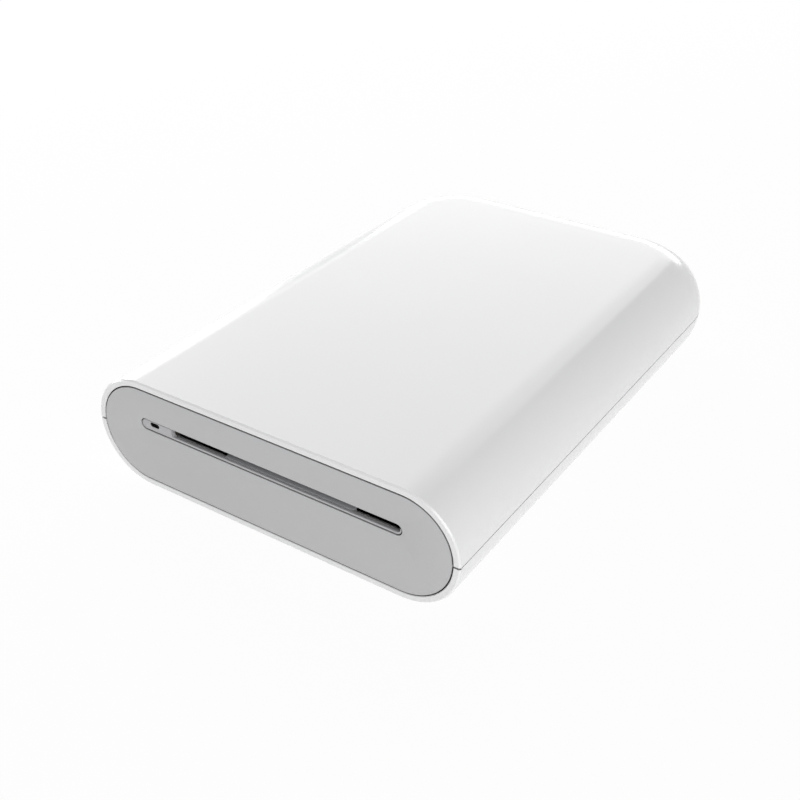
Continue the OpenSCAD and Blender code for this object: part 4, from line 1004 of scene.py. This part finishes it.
class PRINTER_OT_charging_socket(bpy.types.Operator):
    """Models the charging socket: a drawn shell with a tongue, its lower corners cut off"""

    bl_idname = "printer.charging_socket"
    bl_label = "Charging socket"

    def execute(self, context):
        low, high = cad_box("usb_socket")
        shell = block("socket", low, high)
        round_edges(shell, lambda e: runs_along(e, "Y") and mid(e).z < low[2] + 0.3, 0.9, 1)
        round_edges(shell, lambda e: runs_along(e, "Y") and mid(e).z > high[2] - 0.3, 0.35, 4)
        with shaping(shell):
            choose("FACE", lambda f: f.normal.y > 0.9)
            bpy.ops.mesh.inset(thickness=0.35 * MM)
            push(y=-4.6)
        round_edges(shell, lambda e: sharp(e) and mid(e).y > high[1] - 0.1, 0.08, 2)
        tongue = block("tongue", (low[0] + 1.15, low[1] + 0.9, 7.75), (high[0] - 1.15, high[1] - 1, 8.3))
        round_edges(tongue, lambda e: mid(e).y > high[1] - 1.1, 0.15, 3)
        shell = joined("socket", shell, tongue)
        finished(shell, "base", nickel_finish(), "sheet_steel", "usb_socket")
        return {"FINISHED"}


class PRINTER_OT_springs(bpy.types.Operator):
    """Winds the head's and the plate's coil springs"""

    bl_idname = "printer.springs"
    bl_label = "Springs"

    def pair(self, name, offset, y, low, high, radius, wire, turns):
        """Two coils between the heights of two corners, to both sides of the paper's middle."""
        coils = [
            coil("coil", PAPER_X + side * offset, y, low.z / MM, high.z / MM, radius, wire, turns)
            for side in (-1, 1)
        ]
        return joined(name, *coils)

    def execute(self, context):
        wire = spring_finish()
        low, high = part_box("head_springs")
        y = cad_centre("head_springs")[1]
        head_coils = self.pair("head_coils", HEAD_SPRING_X, y, low, high, radius=1.55, wire=0.2, turns=4)
        finished(head_coils, "head", wire, "spring_wire", "head_springs")
        low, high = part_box("plate_springs")
        y = cad_centre("plate_springs")[1]
        plate_coils = self.pair("plate_coils", PLATE_SPRING_X, y, low, high, radius=1.8, wire=0.18, turns=6)
        finished(plate_coils, "cover", wire, "spring_wire", "plate_springs")
        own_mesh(plate_coils)
        return {"FINISHED"}


class PRINTER_OT_inner_parts(bpy.types.Operator):
    """Gives each inner part that keeps its CAD shape its real finish"""

    bl_idname = "printer.inner_parts"
    bl_label = "Inner parts"

    def execute(self, context):
        for material, names in inner_finishes(context.scene.printer_finishes).items():
            for name in names:
                for slot in NODES[name].material_slots:
                    slot.material = material
        return {"FINISHED"}


class PRINTER_OT_stage(bpy.types.Operator):
    """Sets the floor, the soft light and the camera"""

    bl_idname = "printer.stage"
    bl_label = "Stage"

    # Metres and watts: place, height of the point aimed at, width, height and power
    lights = {
        "rear_soft_box": ((-0.35, 0.6, 0.5), 0.02, 0.9, 0.6, 2.5),
        "rear_low_strip": ((-0.25, 0.72, 0.12), 0.02, 0.6, 0.15, 1.0),
        "left_strip": ((-0.75, 0.15, 0.14), 0.02, 0.8, 0.26, 5.4),
        "right_box": ((0.62, -0.54, 0.34), 0.01, 0.7, 0.5, 4.2),
    }
    world_fill = 0.272
    # The floor's share of plain white where it is seen, and its glow where it isn't
    floor_seen, floor_glow = 0.95, 0.32
    floor_size, sweep = 6, 0.6
    camera_place, camera_target = (0.113758, -0.188058, 0.137876), (0.003169, -0.021706, 0.011)
    camera_roll = math.radians(0.06)
    lens_mm, sensor_mm = 51.35, 36

    def soft_light(self, name, place, aim_z, width, height, power):
        """An area light that faces the printer."""
        single(None)
        bpy.ops.object.light_add(type="AREA", location=place)
        lamp = bpy.context.object
        lamp.name = name
        lamp.data.shape = "RECTANGLE"
        lamp.data.size, lamp.data.size_y, lamp.data.energy = width, height, power
        lamp.rotation_euler = (Vector((0, 0, aim_z)) - Vector(place)).to_track_quat("-Z", "Y").to_euler()

    def white_where_seen(self, tree, surface, share, glow_share=0.0):
        """White for what the camera, a gloss or a glass sees; elsewhere the surface with a little glow."""
        path = node(tree, "ShaderNodeLightPath")
        either = node(
            tree, "ShaderNodeMath", {0: path.outputs["Is Camera Ray"], 1: path.outputs["Is Glossy Ray"]},
            operation="MAXIMUM",
        ).outputs[0]
        seen = node(
            tree, "ShaderNodeMath", {0: either, 1: path.outputs["Is Transmission Ray"]}, operation="MAXIMUM"
        ).outputs[0]
        part = node(
            tree, "ShaderNodeMath", {0: seen, 1: share - glow_share, 2: glow_share}, operation="MULTIPLY_ADD"
        ).outputs[0]
        glow = node(tree, "ShaderNodeEmission", {"Color": (1, 1, 1, 1), "Strength": 1.0}).outputs[0]
        return node(tree, "ShaderNodeMixShader", {0: part, 1: surface, 2: glow}).outputs[0]

    def floor(self, colour):
        """Seamless studio paper that sweeps up behind the printer: white, dull, with a soft shadow."""
        single(None)
        bpy.ops.mesh.primitive_grid_add(x_subdivisions=8, y_subdivisions=8, size=self.floor_size)
        floor = placed(bpy.context.object, "studio_floor")
        rear = self.floor_size / 2 / MM
        with shaping(floor):
            choose("EDGE", lambda e: mid(e).y > rear - 100)
            push(y=self.sweep / MM, z=self.sweep / MM)
        bpy.ops.object.shade_smooth()
        paper = bpy.data.materials.new("studio paper")
        shader = principled(paper)
        shader.inputs["Base Color"].default_value = colour
        shader.inputs["Roughness"].default_value = 0.9
        tree = paper.node_tree
        output = next(n for n in tree.nodes if n.type == "OUTPUT_MATERIAL")
        surface = self.white_where_seen(tree, shader.outputs[0], self.floor_seen, self.floor_glow)
        tree.links.new(surface, output.inputs["Surface"])
        floor.data.materials.append(paper)

    def surroundings(self, scene):
        """A white background that fills the shadows a little."""
        world = scene.world or bpy.data.worlds.new("studio")
        scene.world = world
        world.use_nodes = True
        tree = world.node_tree
        tree.nodes.clear()
        fill = node(
            tree, "ShaderNodeBackground", {"Color": (1, 1, 1, 1), "Strength": self.world_fill}
        ).outputs[0]
        sky = node(tree, "ShaderNodeOutputWorld", {"Surface": self.white_where_seen(tree, fill, 1.0)})
        sky.is_active_output = True

    def camera(self, scene):
        """The camera as fitted to the photo."""
        view = bpy.data.cameras.new("view")
        view.lens, view.sensor_width = self.lens_mm, self.sensor_mm
        camera = bpy.data.objects.new("view", view)
        scene.collection.objects.link(camera)
        place, target = Vector(self.camera_place), Vector(self.camera_target)
        aim = (target - place).to_track_quat("-Z", "Y").to_matrix()
        turn = aim @ Matrix.Rotation(self.camera_roll, 3, "Z")
        camera.matrix_world = Matrix.Translation(place) @ turn.to_4x4()
        scene.camera = camera

    def execute(self, context):
        scene = context.scene
        self.floor(list(scene.printer_finishes.floor))
        self.surroundings(scene)
        for name, settings in self.lights.items():
            self.soft_light(name, *settings)
        self.camera(scene)
        scene.view_settings.view_transform = "Standard"
        return {"FINISHED"}


MAKERS = [
    PRINTER_OT_cover,
    PRINTER_OT_case,
    PRINTER_OT_slot_panel,
    PRINTER_OT_slot_liner,
    PRINTER_OT_status_window,
    PRINTER_OT_feet,
    PRINTER_OT_power_button,
    PRINTER_OT_charging_socket,
    PRINTER_OT_springs,
    PRINTER_OT_inner_parts,
    PRINTER_OT_stage,
]


class PRINTER_PT_panel(bpy.types.Panel):
    """Lists the printer's sizes, colours and pieces in the sidebar"""

    bl_idname = "PRINTER_PT_panel"
    bl_label = "Photo printer"
    bl_space_type = "VIEW_3D"
    bl_region_type = "UI"
    bl_category = "Photo printer"

    def draw(self, context):
        scene = context.scene
        for group in (scene.printer_shells, scene.printer_panel, scene.printer_finishes):
            box = self.layout.box()
            for key in group.bl_rna.properties.keys():
                if key not in ("rna_type", "name"):
                    box.prop(group, key)
        for maker in MAKERS:
            self.layout.operator(maker.bl_idname)


CLASSES = [ShellSizes, PanelSizes, Finishes, *MAKERS, PRINTER_PT_panel]


def register():
    for cls in CLASSES:
        bpy.utils.register_class(cls)
    bpy.types.Scene.printer_shells = PointerProperty(type=ShellSizes)
    bpy.types.Scene.printer_panel = PointerProperty(type=PanelSizes)
    bpy.types.Scene.printer_finishes = PointerProperty(type=Finishes)


def unregister():
    for name in ("printer_shells", "printer_panel", "printer_finishes"):
        delattr(bpy.types.Scene, name)
    for cls in reversed(CLASSES):
        bpy.utils.unregister_class(cls)


def main():
    register()
    bpy.ops.printer.cover()
    bpy.ops.printer.case()
    bpy.ops.printer.slot_panel()
    bpy.ops.printer.slot_liner()
    bpy.ops.printer.status_window()
    bpy.ops.printer.feet()
    bpy.ops.printer.power_button()
    bpy.ops.printer.charging_socket()
    bpy.ops.printer.springs()
    bpy.ops.printer.inner_parts()
    bpy.ops.printer.stage()


if __name__ == "__main__":
    main()
